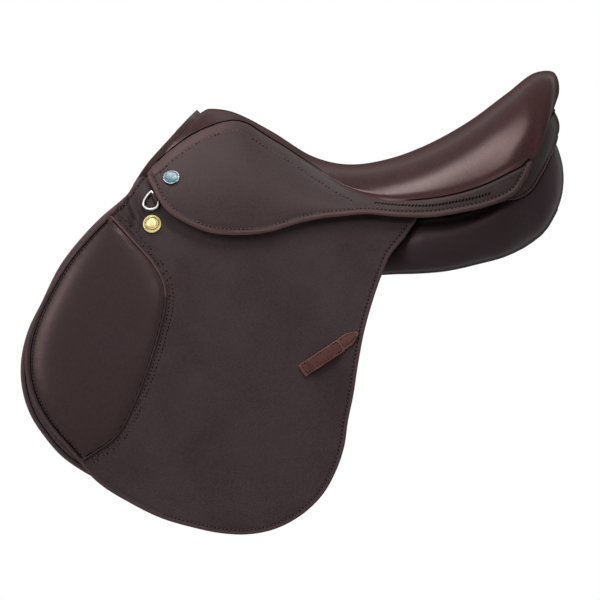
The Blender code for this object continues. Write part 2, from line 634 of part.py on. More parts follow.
def make_sweat_flap(side_name, side):
    """Sweat flap below the panel, with the knee block and thigh block it carries."""
    sheet = side_sheet(
        side, SWEAT_TOP, SWEAT_EDGE, 30, 7,
        lambda x, z, along, down: -sweat_depth(x),
        lambda x, z, along, down: -sweat_depth(x) - SWEAT_THICKNESS,
    )
    add_object(f"sweat_flap_{side_name}", sheet, "flap_leather", 50.0)

    def block_outer(x, z, along, down):
        room = sweat_depth(x) - FLAP_THICKNESS - 2.0
        crown = (1.0 - abs(2.0 * down - 1.0) ** 3) * (1.0 - abs(2.0 * along - 1.0) ** 4)
        return -sweat_depth(x) + BLOCK_GAP + (room - BLOCK_GAP) * (0.25 + 0.75 * crown)

    def block_inner(x, z, along, down):
        return -sweat_depth(x) + BLOCK_GAP

    knee_front = ((-262.0, 30.0), (-288.0, 0.0), (-309.0, -36.0), (-320.0, -80.0), (-318.0, -112.0), (-302.0, -140.0))
    knee_rear = ((-240.0, 18.0), (-258.0, -6.0), (-272.0, -38.0), (-279.0, -78.0), (-279.0, -108.0), (-274.0, -130.0))
    knee = side_sheet(side, knee_front, knee_rear, 12, 6, block_outer, block_inner)
    add_object(f"knee_block_{side_name}", knee, "seat_calf", 60.0)
    thigh_front = ((-12.0, -62.0), (-17.0, -102.0), (-20.0, -138.0))
    thigh_rear = ((2.0, -62.0), (-4.0, -102.0), (-10.0, -138.0))
    thigh = side_sheet(side, thigh_front, thigh_rear, 8, 5, block_outer, block_inner)
    add_object(f"thigh_block_{side_name}", thigh, "seat_calf", 60.0)


def make_skirt(side_name, side):
    """Skirt: the part sewn along the seat, and the lobe that lifts over the stirrup bar."""
    seam = [(x, z - SEAM_GAP) for x, y, z in SEAM[1:: max(len(SEAM) // 18, 1)]]
    seam = [SKIRT_NOSE[1], SKIRT_NOSE[0]] + [p for p in seam if p[0] > -194.0] + [(189.5, 114.5)]
    front_x, rear_x = LOBE_EDGE[0][0] - 1.0, LOBE_EDGE[-1][0]
    line = [(front_x + (rear_x - front_x) * i / 8.0) for i in range(9)]
    lower = [SKIRT_NOSE[2], SKIRT_NOSE[3]] + [(x, hinge_z(x) + HINGE_SEAT_GAP) for x in line[1:]]
    lower += list(TAIL_EDGE[1:])
    upper_sheet = side_sheet(side, seam, lower, 34, 6, flat(SKIRT_OUT), flat(SKIRT_GAP))
    add_object(f"skirt_top_{side_name}", upper_sheet, "saddle_leather", 50.0)
    top = [(x, hinge_z(x) - HINGE_LOBE_GAP) for x in line]
    lobe = side_sheet(side, top, LOBE_EDGE, 20, 5, flat(SKIRT_OUT), flat(SKIRT_GAP))
    return [add_object(f"skirt_{side_name}", lobe, "saddle_leather", 50.0)]


def insert_offset(x, z, along, down):
    """Height of the knee insert over the flap: a stitched margin and a soft crown."""
    across = 1.0 - abs(2.0 * down - 1.0) ** 3
    length = 1.0 - abs(2.0 * along - 1.0) ** 6
    return 0.4 + INSERT_EDGE + INSERT_PUFF * across * length


def make_flap(side_name, side):
    """Flap with its knee insert, keeper, tab and stud."""
    flap_rear = FLAP_EDGE[-1][0]
    top = [(-220.0 + (flap_rear + 220.0) * i / 8.0) for i in range(9)]
    top = [(x, hinge_z(x) + FLAP_TOP) for x in top]
    sheet = side_sheet(side, top, FLAP_EDGE, 40, 8, flat(0.0), flat(-FLAP_THICKNESS))
    pieces = [add_object(f"flap_{side_name}", sheet, "flap_leather", 50.0)]
    insert = side_sheet(side, INSERT_FRONT, INSERT_REAR, 16, 9, insert_offset, flat(0.4))
    pieces.append(add_object(f"knee_insert_{side_name}", insert, "seat_calf", 60.0))
    pieces += make_keeper(side_name, side)
    stud = button_mesh(side, STUD_PLACE, 0.4, STUD_RADIUS, 3.2)
    pieces.append(add_object(f"flap_stud_{side_name}", stud, "brass"))
    pieces.append(make_chape(side_name, side))
    return pieces


def make_keeper(side_name, side):
    """Keeper loop, open above and below for the end of the stirrup leather, and its tab."""
    start, end = Vector(KEEPER_ENDS[0]), Vector(KEEPER_ENDS[1])
    along = (end - start).normalized()
    across = Vector((-along.y, along.x)) * (KEEPER_WIDTH / 2.0)
    stops = (0.0, 0.09, 0.17, 0.27, 0.5, 0.73, 0.83, 0.91, 1.0)
    outer, inner = [], []
    for stop in stops:
        middle = start.lerp(end, stop)
        rise = KEEPER_RISE * smooth_step(min(stop, 1.0 - stop), 0.09, 0.27)
        lines = ([], [])
        for share in (-1.0, 0.0, 1.0):
            x, z = middle + across * share
            for line, lift in zip(lines, (0.4 + rise + KEEPER_THICKNESS, 0.4 + rise)):
                line.append(Vector((x, side * (side_y(x, z) + lift), z)))
        outer.append(lines[0])
        inner.append(lines[1])
    keeper = add_object(f"keeper_{side_name}", shell_mesh(outer, inner), "keeper_leather", 50.0)
    root = Vector((end.x + 1.2, end.y + 1.0))
    tip = Vector(TAB_PLACE) + along * 9.0
    tops = [root + across * 0.7, root.lerp(tip, 0.5) + across * 0.55, tip + across * 0.08]
    lows = [root - across * 0.7, root.lerp(tip, 0.5) - across * 0.55, tip - across * 0.08]
    tab_bm = side_sheet(side, tops, lows, 5, 3, flat(0.4 + 2.0), flat(0.4))
    return [keeper, add_object(f"keeper_tab_{side_name}", tab_bm, "keeper_leather", 50.0)]


def ring_points(side):
    """The D-ring's path on the flap: a straight bar under the skirt's edge and a round bow."""
    top, foot = Vector(RING_TOP), Vector(RING_FOOT)
    bar = (foot - top).normalized()
    out = Vector((bar.y, -bar.x))
    if out.x > 0.0:
        out.negate()
    middle, half = (top + foot) / 2.0, (foot - top).length / 2.0
    flat_points = [middle - bar * half * 0.5, middle, middle + bar * half * 0.5]
    flat_points += [
        middle + bar * (half * math.cos(math.radians(a))) + out * (RING_REACH * math.sin(math.radians(a)))
        for a in range(10, 180, 20)
    ]
    points = []
    for x, z in flat_points:
        points.append(Vector((x, side * (side_y(x, z) + RING_WIRE + 0.9), z)))
    return points


def make_ring(side_name, side):
    """Silver D-ring."""
    curve = bpy.data.curves.new(f"d_ring_{side_name}", "CURVE")
    curve.dimensions = "3D"
    curve.bevel_depth = RING_WIRE * MM
    curve.bevel_resolution = 2
    points = ring_points(side)
    origin = points[1]
    spline = curve.splines.new("POLY")
    spline.points.add(len(points) - 1)
    for knot, point in zip(spline.points, points):
        knot.co = (*((point - origin) * MM), 1.0)
    spline.use_cyclic_u = True
    ring = bpy.data.objects.new(f"d_ring_{side_name}", curve)
    ring.location = origin * MM
    ring.data.materials.append(material("nickel"))
    bpy.context.collection.objects.link(ring)
    return ring


def make_chape(side_name, side):
    """Leather tab under the skirt's nose that holds the D-ring's bar."""
    top, foot = Vector(RING_TOP), Vector(RING_FOOT)
    bar = (foot - top).normalized()
    inward = Vector((-bar.y, bar.x))
    if inward.x < 0.0:
        inward.negate()
    near = (top + foot) / 2.0 + inward * (RING_WIRE + 0.5)
    far = near + inward * 16.0
    tops = [near - bar * 5.0, far - bar * 5.0]
    lows = [near + bar * 5.0, far + bar * 5.0]
    sheet = side_sheet(side, tops, lows, 3, 3, flat(0.4 + 3.4), flat(0.4))
    return add_object(f"ring_chape_{side_name}", sheet, "saddle_leather", 50.0)


def make_girth_web(side_name, side):
    """Web that hangs over the rail and carries the three girth straps of one side."""
    inner, outer = Spline(RAIL_INNER).points(80)[:55], Spline(RAIL_OUTER).points(80)[:55]
    rows = []
    for i in range(8):
        top_x = GIRTH_WEB_TOP_X[0] + (GIRTH_WEB_TOP_X[1] - GIRTH_WEB_TOP_X[0]) * i / 7.0
        foot_x = GIRTH_WEB_FOOT_X[0] + (GIRTH_WEB_FOOT_X[1] - GIRTH_WEB_FOOT_X[0]) * i / 7.0
        a = min(inner, key=lambda p: abs(p[0] - top_x))
        b = min(outer, key=lambda p: abs(p[0] - top_x))
        rows.append([
            Vector((top_x, 0.6 * a[1] + 0.4 * b[1], 0.6 * a[2] + 0.4 * b[2] + 4.6)),
            Vector((top_x, b[1] + 2.6, b[2] + 3.4)),
            Vector((top_x, b[1] + 5.6, b[2] - 3.0)),
            Vector((foot_x, side_y(foot_x, 50.0) - 11.4, 50.0)),
            Vector((foot_x, side_y(foot_x, 30.0) - 11.4, 30.0)),
        ])
    below = grid_below(rows, GIRTH_WEB_THICKNESS)
    if side < 0:
        rows, below = [[[Vector((p.x, -p.y, p.z)) for p in row] for row in grid] for grid in (rows, below)]
    add_object(f"girth_web_{side_name}", shell_mesh(rows, below), "webbing")


def strap_frame(side, x):
    """Pivot point of a girth strap and the turn that lays it between flap and sweat flap."""
    top = Vector((x, side * (side_y(x, STRAP_TOP) - STRAP_TOP_OFFSET), STRAP_TOP))
    foot = Vector((x, side * (side_y(x, STRAP_BOTTOM) - STRAP_FOOT_OFFSET), STRAP_BOTTOM))
    up = (top - foot).normalized()
    normal = up.cross(Vector((1.0, 0.0, 0.0))).normalized()
    forward = normal.cross(up)
    share = (STRAP_TOP - STRAP_PIVOT) / (STRAP_TOP - STRAP_BOTTOM)
    turn = Matrix((forward, normal, up)).transposed()
    return top.lerp(foot, share), turn


def make_straps(side_name, side):
    """Three girth straps, flat leather with a pointed tip, each on its own pivot."""
    made = []
    for strap_name, x in zip(STRAP_NAMES, STRAP_X):
        pivot, turn = strap_frame(side, x)
        half = STRAP_WIDTH / 2.0
        above, below = STRAP_TOP - STRAP_PIVOT, STRAP_PIVOT - STRAP_BOTTOM
        outline = [
            (-half, above), (half, above), (half, -below + STRAP_TIP), (half * 0.55, -below + 4.0),
            (0.0, -below), (-half * 0.55, -below + 4.0), (-half, -below + STRAP_TIP),
        ]
        bm = prism_mesh(outline, -STRAP_THICKNESS / 2.0, STRAP_THICKNESS / 2.0)
        stand = Matrix(((1, 0, 0, 0), (0, 0, 1, 0), (0, 1, 0, 0), (0, 0, 0, 1)))
        bm.transform(turn.to_4x4() @ stand)
        bm.transform(Matrix.Translation(pivot))
        name = f"girth_strap_{strap_name}_{side_name}"
        made.append(add_object(name, bm, "flap_leather", 30.0, pivot))
    return made


def facing_x(z):
    """Front of the pommel facing at height z."""
    return float(np.interp(z, FACING_FRONT_Z, FACING_FRONT_X))


def under_tail(place):
    """The point moved inwards where the skirt's tail would touch it."""
    x, y, z = place
    room = side_y(x, z) + SKIRT_GAP - 1.0
    return Vector((x, y if x > 192.0 else min(y, room), z))


def make_facings():
    """The strip in front of the pommel and the strip round the back of the cantle."""
    rows = 9
    outer_half = [Vector((facing_x(z), y, z)) for y, z in Spline(FACING_OUTER).points(rows)]
    inner_half = [Vector((facing_x(z), y, z)) for y, z in Spline(FACING_INNER).points(rows)]
    outer, inner = mirrored(outer_half), mirrored(inner_half)
    front = [[a, a.lerp(b, 0.5), b] for a, b in zip(outer, inner)]
    front = [[Vector((facing_x(p.z), p.y, p.z)) for p in row] for row in front]
    back = [[p + Vector((FACING_THICKNESS, 0.0, 0.0)) for p in row] for row in front]
    add_object("pommel_facing", shell_mesh(front, back), "saddle_leather", 50.0)

    upper = mirrored([under_tail(p) for p in Spline(CANTLE_UPPER).points(14)])
    lower = mirrored([under_tail(p) for p in Spline(CANTLE_LOWER).points(14)])
    skin = [[a, a.lerp(b, 0.5), b] for a, b in zip(upper, lower)]
    within = grid_below(skin, CANTLE_THICKNESS)
    add_object("cantle_facing", shell_mesh(skin, within), "saddle_leather", 50.0)


def hinge_empty(name, point, axis):
    """Empty on a joint's axis, its own X along the axis."""
    empty = bpy.data.objects.new(name, None)
    empty.location = point * MM
    empty.rotation_mode = "QUATERNION"
    empty.rotation_quaternion = axis.to_track_quat("X", "Z")
    bpy.context.collection.objects.link(empty)
    return empty


def hang_on(empty, pieces):
    """Parents pieces to an empty without moving them."""
    bpy.context.view_layer.update()
    for piece in pieces:
        piece.parent = empty
        piece.matrix_parent_inverse = empty.matrix_world.inverted()


def side_hinge(side):
    """Middle point and direction of one side's bending line."""
    front, rear = hinge_point(HINGE_FRONT), hinge_point(HINGE_REAR)
    bulge = 0.0
    for i in range(21):
        on_line = front.lerp(rear, i / 20.0)
        bulge = max(bulge, hinge_point((on_line.x, on_line.z)).y - on_line.y)
    front.y, rear.y = side * (front.y + bulge), side * (rear.y + bulge)
    return (front + rear) / 2.0, (rear - front).normalized()


def make_side(side_name, side):
    """Everything on one side of the saddle."""
    make_panel(side_name, side)
    make_sweat_flap(side_name, side)
    make_girth_web(side_name, side)
    catch_parts = make_stirrup_bar(side_name, side)
    skirt_parts = make_skirt(side_name, side)
    flap_parts = make_flap(side_name, side)
    ring = make_ring(side_name, side)
    make_straps(side_name, side)
    nail = button_mesh(side, NAIL_PLACE, SKIRT_OUT + 0.4, NAIL_RADIUS, 2.6)
    add_object(f"skirt_nail_{side_name}", nail, "enamel")

    middle, axis = side_hinge(side)
    flap_hinge = hinge_empty(f"flap_{side_name}_bend", middle, axis)
    skirt_hinge = hinge_empty(f"skirt_{side_name}_bend", middle, axis)
    hang_on(flap_hinge, flap_parts)
    hang_on(skirt_hinge, skirt_parts)
    points = ring_points(side)
    ring_hinge = hinge_empty(f"d_ring_{side_name}_bar", points[1], (points[2] - points[0]).normalized())
    hang_on(flap_hinge, [ring_hinge])
    hang_on(ring_hinge, [ring])
    pin = Vector((PIN_PLACE[0], side * BAR_BLADE_Y[0], PIN_PLACE[1]))
    hang_on(hinge_empty(f"catch_{side_name}_pivot", pin, Vector((0.0, 1.0, 0.0))), catch_parts)


def main():
    for old in list(bpy.data.objects):
        bpy.data.objects.remove(old, do_unlink=True)
    make_seat()
    make_tree()
    make_facings()
    for side_name, side in SIDES.items():
        make_side(side_name, side)


main()
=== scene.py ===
"""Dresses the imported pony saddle: leather, stitching, padding, metal, and the studio.

Lengths are millimetres on the saddle's forms and metres once they are vertices. +X runs from
the pommel to the cantle, -Y is the near side and +Z is up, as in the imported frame.
"""

import logging
import math
from dataclasses import dataclass, field
from enum import Enum
from typing import Callable, Optional, Sequence

import bpy
import numpy as np
from mathutils import Matrix, Vector


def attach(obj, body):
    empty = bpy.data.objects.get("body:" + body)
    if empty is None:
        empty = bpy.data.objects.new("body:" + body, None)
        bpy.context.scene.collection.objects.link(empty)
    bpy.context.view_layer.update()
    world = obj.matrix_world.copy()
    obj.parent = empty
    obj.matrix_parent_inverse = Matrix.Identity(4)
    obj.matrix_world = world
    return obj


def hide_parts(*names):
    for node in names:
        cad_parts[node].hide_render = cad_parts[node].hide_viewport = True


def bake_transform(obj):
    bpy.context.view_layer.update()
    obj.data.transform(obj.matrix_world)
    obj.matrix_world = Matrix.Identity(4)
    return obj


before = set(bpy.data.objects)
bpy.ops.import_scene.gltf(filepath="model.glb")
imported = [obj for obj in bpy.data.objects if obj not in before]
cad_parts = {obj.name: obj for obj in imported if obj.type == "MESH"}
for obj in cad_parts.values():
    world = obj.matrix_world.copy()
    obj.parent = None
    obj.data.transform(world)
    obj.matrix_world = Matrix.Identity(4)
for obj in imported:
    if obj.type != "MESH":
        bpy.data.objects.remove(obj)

LOG = logging.getLogger("saddle")
MM = 0.001
SHARP = 50.0
Outline = Sequence[tuple[float, float]]
Height = Callable[[np.ndarray, np.ndarray], np.ndarray]
Pair = tuple[np.ndarray, np.ndarray]
Place = Callable[[np.ndarray, np.ndarray], Pair]
Piece = bpy.types.Object
Socket = bpy.types.NodeSocket


class Side(Enum):
    """The two sides of the saddle, with the sign of their Y."""

    LEFT = -1.0
    RIGHT = 1.0

    @property
    def tag(self) -> str:
        """The side's name at the end of a node's name."""
        return self.name.lower()

    def facing(self, x: np.ndarray, y: np.ndarray, z: np.ndarray) -> Pair:
        """Points y from the centre plane on this side, with the direction away from the plane."""
        return np.stack([x, self.value * y, z], axis=-1), everywhere((0.0, self.value, 0.0), x)


def everywhere(way: Sequence[float], like: np.ndarray) -> np.ndarray:
    """One direction, repeated for each of some values."""
    return np.tile(way, (*np.shape(like), 1))


def shares(count: int) -> np.ndarray:
    """Even shares from 0 to 1."""
    return np.linspace(0.0, 1.0, count)


def unit(ways: np.ndarray) -> np.ndarray:
    """Directions with their length brought to 1."""
    return ways / np.maximum(np.linalg.norm(ways, axis=-1, keepdims=True), 1e-9)


def arc_lengths(path: np.ndarray) -> np.ndarray:
    """Distance from a path's start to each of its points."""
    return np.concatenate(([0.0], np.cumsum(np.linalg.norm(np.diff(path, axis=0), axis=1))))


def read_along(path: np.ndarray, knots: np.ndarray, places: np.ndarray) -> np.ndarray:
    """A path's values, known at the knots, read at other places along it."""
    return np.stack([np.interp(places, knots, path[:, k]) for k in range(path.shape[1])], axis=1)


class Spline:
    """Smooth curve through key points, read by its share of the chord length."""

    def __init__(self, keys: Sequence[Sequence[float]]) -> None:
        """Stores the keys and the slope at each one."""
        self.keys = np.array(keys, float)
        self.knots = arc_lengths(self.keys)
        widths = np.diff(self.knots)[:, None]
        chords = np.diff(self.keys, axis=0) / widths
        slopes = np.empty_like(self.keys)
        slopes[0], slopes[-1] = chords[0], chords[-1]
        crossed = chords[:-1] * widths[1:] + chords[1:] * widths[:-1]
        slopes[1:-1] = crossed / (widths[1:] + widths[:-1])
        self.slopes = slopes

    def at(self, values: np.ndarray) -> np.ndarray:
        """Points at shares of the length.

        Args:
            values: shares from 0 to 1, of any shape.

        Returns:
            The points, with one more axis for their coordinates.
        """
        place = np.clip(np.asarray(values, float), 0.0, 1.0) * self.knots[-1]
        i = np.clip(np.searchsorted(self.knots, place, side="right") - 1, 0, len(self.keys) - 2)
        width = (self.knots[i + 1] - self.knots[i])[..., None]
        t = (place[..., None] - self.knots[i][..., None]) / width
        a, b = self.keys[i], self.keys[i + 1]
        m, n = self.slopes[i] * width, self.slopes[i + 1] * width
        bends = m * (t * (1.0 - t) ** 2) - n * (t * t * (1.0 - t))
        return a + (b - a) * (t * t * (3.0 - 2.0 * t)) + bends

    def even(self, count: int) -> np.ndarray:
        """Count points at even shares of the length."""
        return self.at(shares(count))


def step(value: np.ndarray, start: float, end: float) -> np.ndarray:
    """0 at start, 1 at end and beyond, with level ends."""
    t = np.clip((np.asarray(value, float) - start) / (end - start), 0.0, 1.0)
    return t * t * (3.0 - 2.0 * t)


def hump(value: np.ndarray, centre: float, width: float) -> np.ndarray:
    """A soft hump of height 1 at centre, fading out over width."""
    return np.exp(-(((np.asarray(value, float) - centre) / width) ** 2))


def distance_to(path: np.ndarray, x: np.ndarray, z: np.ndarray) -> np.ndarray:
    """Distance of points from a path on the side, seen square on.

    Args:
        path: points of the path, x and z, in order.
        x: the points' x.
        z: the points' z.

    Returns:
        The distance of each point, in the units given.
    """
    shape = np.shape(x)
    spots = np.stack([np.ravel(x), np.ravel(z)], axis=1)
    best = np.full(len(spots), 1e9)
    for a, b in zip(path[:-1], path[1:]):
        run = b - a
        length = max(float(run @ run), 1e-9)
        share = np.clip(((spots - a) @ run) / length, 0.0, 1.0)
        gap = np.linalg.norm(spots - (a + share[:, None] * run), axis=1)
        best = np.minimum(best, gap)
    return best.reshape(shape)


def resample(path: np.ndarray, pitch: float) -> np.ndarray:
    """The path's points again, at an even pitch along it."""
    path = np.asarray(path, float)
    knots = arc_lengths(path)
    count = max(int(round(knots[-1] / pitch)) + 1, 2)
    return read_along(path, knots, np.linspace(0.0, knots[-1], count))


def shifted(path: np.ndarray, distance: float) -> np.ndarray:
    """The path moved sideways, to its left in x and z where distance is positive."""
    ahead = unit(np.gradient(path, axis=0))
    return path + np.stack([-ahead[:, 1], ahead[:, 0]], axis=1) * distance


@dataclass
class SaddleForm:
    """The surfaces that every leather piece lies on, the same as the solids' own.

    A seat station holds the crown's x and z, the seam's x, y and z, the power of the section
    between them and the foam's depth. width_x and width_y give half the width at the level.
    """

    seat_stations: tuple = (
        (-153.5, 168.0, -198.0, 74.0, 118.5, 2.2, 7.0),
        (-146.0, 170.5, -164.0, 55.0, 143.5, 2.2, 8.0),
        (-122.0, 166.0, -120.0, 43.0, 158.0, 2.2, 13.0),
        (-84.0, 147.0, -84.0, 45.0, 140.0, 2.1, 23.0),
        (-37.0, 120.6, -37.0, 55.0, 110.0, 2.2, 23.0),
        (0.0, 113.4, 0.0, 80.0, 86.5, 2.6, 24.0),
        (42.0, 119.6, 40.0, 106.0, 74.5, 3.0, 28.0),
        (83.0, 135.0, 83.0, 122.0, 75.5, 3.0, 32.0),
        (125.0, 158.5, 125.0, 127.0, 84.5, 2.9, 34.0),
        (165.0, 188.0, 165.0, 120.0, 102.0, 2.7, 32.0),
        (195.5, 210.0, 190.0, 109.0, 117.5, 2.4, 20.0),
        (214.0, 210.5, 201.0, 97.0, 138.0, 2.2, 12.0),
        (220.0, 188.0, 210.0, 70.0, 161.0, 2.2, 7.5),
        (213.5, 172.5, 212.5, 48.0, 169.0, 2.0, 6.5),
    )
    width_x: tuple = (
        -345.0, -300.0, -240.0, -200.0, -150.0, -100.0, -50.0, 0.0, 50.0, 100.0, 140.0, 170.0, 200.0,
    )
    width_y: tuple = (
        91.0, 95.0, 99.5, 103.0, 107.0, 109.0, 110.0, 111.0, 114.0, 123.0, 125.0, 119.0, 110.0,
    )
    soften: tuple = tuple(range(-24, 25, 6))
    level: float = 60.0
    slope: float = 0.30
    curve: float = 0.00015
    skirt_out: float = 9.5
    hinge_front: tuple = (-205.0, 90.0)
    hinge_rear: tuple = (25.0, 64.0)
    seat: Spline = field(init=False)
    seam: np.ndarray = field(init=False)

    def __post_init__(self) -> None:
        """Works out the seat's spline and the seam's line."""
        self.seat = Spline(self.seat_stations)
        line = self.seat.even(801)[:, 2:5]
        line = np.vstack([[(-213.0, 86.0, 104.0)], line])
        self.seam = line[: int(np.argmax(line[:, 0] > 189.0))]

    def side(self, x: np.ndarray, z: np.ndarray) -> np.ndarray:
        """Distance of the flap's outer face from the centre plane, in mm."""
        x, z = np.asarray(x, float), np.asarray(z, float)
        level = sum(np.interp(x + d, self.width_x, self.width_y) for d in self.soften)
        level /= len(self.soften)
        drop = self.level - z
        low = level + self.slope * drop - self.curve * drop * drop
        top = np.interp(x, self.seam[:, 0], self.seam[:, 2]) - self.level
        inner = np.interp(x, self.seam[:, 0], self.seam[:, 1]) - self.skirt_out
        bend = (level - inner - self.slope * top) / top**2
        high = level + self.slope * drop - bend * drop * drop
        return np.where(z <= self.level, low, high)

    def hinge_z(self, x: np.ndarray) -> np.ndarray:
        """Height of the line that the flap and the skirt bend about, at x."""
        (x0, z0), (x1, z1) = self.hinge_front, self.hinge_rear
        return z0 + (z1 - z0) * (np.asarray(x, float) - x0) / (x1 - x0)

    def on_seat(self, u: np.ndarray, v: np.ndarray) -> np.ndarray:
        """Points of the seat's outer face; u runs to the rear, v across from -1 to 1."""
        cx, cz, ex, ey, ez, power, _ = np.moveaxis(self.seat.at(u), -1, 0)
        across = np.abs(v)
        x, z = ex + (cx - ex) * (1 - across**2), ez + (cz - ez) * (1 - across**power)
        return np.stack([x, ey * v, z], axis=-1)

    def seat_normal(self, u: np.ndarray, v: np.ndarray) -> np.ndarray:
        """Outward directions of the seat's outer face."""
        gap = 0.003
        ahead, back = np.minimum(u + gap, 1.0), np.maximum(u - gap, 0.0)
        right, left = np.minimum(v + gap, 1.0), np.maximum(v - gap, -1.0)
        along = self.on_seat(ahead, v) - self.on_seat(back, v)
        return unit(np.cross(along, self.on_seat(u, right) - self.on_seat(u, left)))


FORM = SaddleForm()


def drop_selection() -> None:
    """Leaves edit mode and clears the selection."""
    if bpy.context.object and bpy.context.object.mode != "OBJECT":
        bpy.ops.object.mode_set(mode="OBJECT")
    bpy.ops.object.select_all(action="DESELECT")


def choose(piece: Piece) -> None:
    """Makes one piece the only selected and the active one."""
    drop_selection()
    piece.select_set(True)
    bpy.context.view_layer.objects.active = piece


def bake(piece: Piece) -> None:
    """Applies all of a piece's modifiers and its place."""
    choose(piece)
    for modifier in list(piece.modifiers):
        bpy.ops.object.modifier_apply(modifier=modifier.name)
    bpy.ops.object.transform_apply(location=True, rotation=True, scale=True)


def make_smooth(piece: Piece, degrees: float) -> None:
    """Smooth shading, with edges past the angle left sharp."""
    choose(piece)
    bpy.ops.object.shade_smooth_by_angle(angle=math.radians(degrees))


def edit_all(piece: Piece, change: Callable[[], object]) -> None:
    """Runs one edit mode step on all of a piece's faces."""
    choose(piece)
    bpy.ops.object.mode_set(mode="EDIT")
    bpy.ops.mesh.select_all(action="SELECT")
    change()
    bpy.ops.object.mode_set(mode="OBJECT")


def face_outwards(piece: Piece) -> None:
    """Points a closed piece's faces outwards."""
    edit_all(piece, lambda: bpy.ops.mesh.normals_make_consistent(inside=False))


def read_verts(piece: Piece, what: str = "co") -> np.ndarray:
    """A piece's vertices, or another of their values, as rows of three."""
    values = np.empty(len(piece.data.vertices) * 3, np.float32)
    piece.data.vertices.foreach_get(what, values)
    return values.reshape(-1, 3)


def write_verts(piece: Piece, spots: np.ndarray) -> None:
    """Moves a piece's vertices to places in metres."""
    piece.data.vertices.foreach_set("co", spots.astype(np.float32).ravel())
    piece.data.update()


def mesh_piece(name: str, verts: np.ndarray, faces: Sequence[Sequence[int]]) -> Piece:
    """A piece from points in mm and faces, for forms that no primitive starts."""
    mesh = bpy.data.meshes.new(name)
    mesh.from_pydata((np.asarray(verts) * MM).tolist(), [], [list(face) for face in faces])
    mesh.update()
    piece = bpy.data.objects.new(name, mesh)
    bpy.context.collection.objects.link(piece)
    return piece


def shell(
    name: str, place: Place, rows: Sequence[float], columns: Sequence[float], thickness: float,
    rim: float, mask: Height,
) -> Piece:
    """A sheet that starts as a flat grid and is laid on a form, then given its thickness.

    Args:
        name: the piece's name.
        place: gives points and outward directions for shares along and across.
        rows: shares along the sheet, 0 to 1.
        columns: shares across the sheet, 0 to 1.
        thickness: the sheet's thickness below its outer face, in mm.
        rim: radius of its rounded edge, in mm.
        mask: gives the rim mask at shares along and across.

    Returns:
        The finished piece.
    """
    drop_selection()
    steps, cross_steps = len(rows) - 1, len(columns) - 1
    bpy.ops.mesh.primitive_grid_add(x_subdivisions=steps, y_subdivisions=cross_steps, size=1.0)
    piece = bpy.context.object
    piece.name = piece.data.name = name
    flat = read_verts(piece) + 0.5
    i = np.rint(flat[:, 0] * steps).astype(int)
    j = np.rint(flat[:, 1] * cross_steps).astype(int)
    along, across = np.asarray(rows)[i], np.asarray(columns)[j]
    points, outward = place(along, across)
    write_verts(piece, points * MM)
    rim_layer = piece.data.attributes.new("rim", "FLOAT", "POINT")
    rim_layer.data.foreach_set("value", mask(along, across).astype(np.float32))
    piece.data.update()
    face = piece.data.polygons[len(piece.data.polygons) // 2 + len(rows) // 2]
    if Vector(outward[face.vertices[0]]).dot(face.normal) < 0.0:
        edit_all(piece, bpy.ops.mesh.flip_normals)
    wall = piece.modifiers.new("wall", "SOLIDIFY")
    wall.thickness = thickness * MM
    wall.offset = -1.0
    wall.use_even_offset = False
    round_edge = piece.modifiers.new("rounding", "BEVEL")
    round_edge.width = rim * MM
    round_edge.segments = 3
    round_edge.limit_method = "ANGLE"
    round_edge.angle_limit = math.radians(SHARP)
    bake(piece)
    make_smooth(piece, SHARP)
    return piece


def worn(sides: float, start: float = 0.0, end: float = 0.0) -> Height:
    """A shell's rim mask that fades in from its sides and ends, each over its own share."""

    def mask(along: np.ndarray, across: np.ndarray) -> np.ndarray:
        """How worn the shell is at shares along and across."""
        total = hump(across, 0.0, sides) + hump(across, 1.0, sides)
        for place, width in ((0.0, start), (1.0, end)):
            total += hump(along, place, width) if width else 0.0
        return np.clip(total, 0.0, 1.0)

    return mask


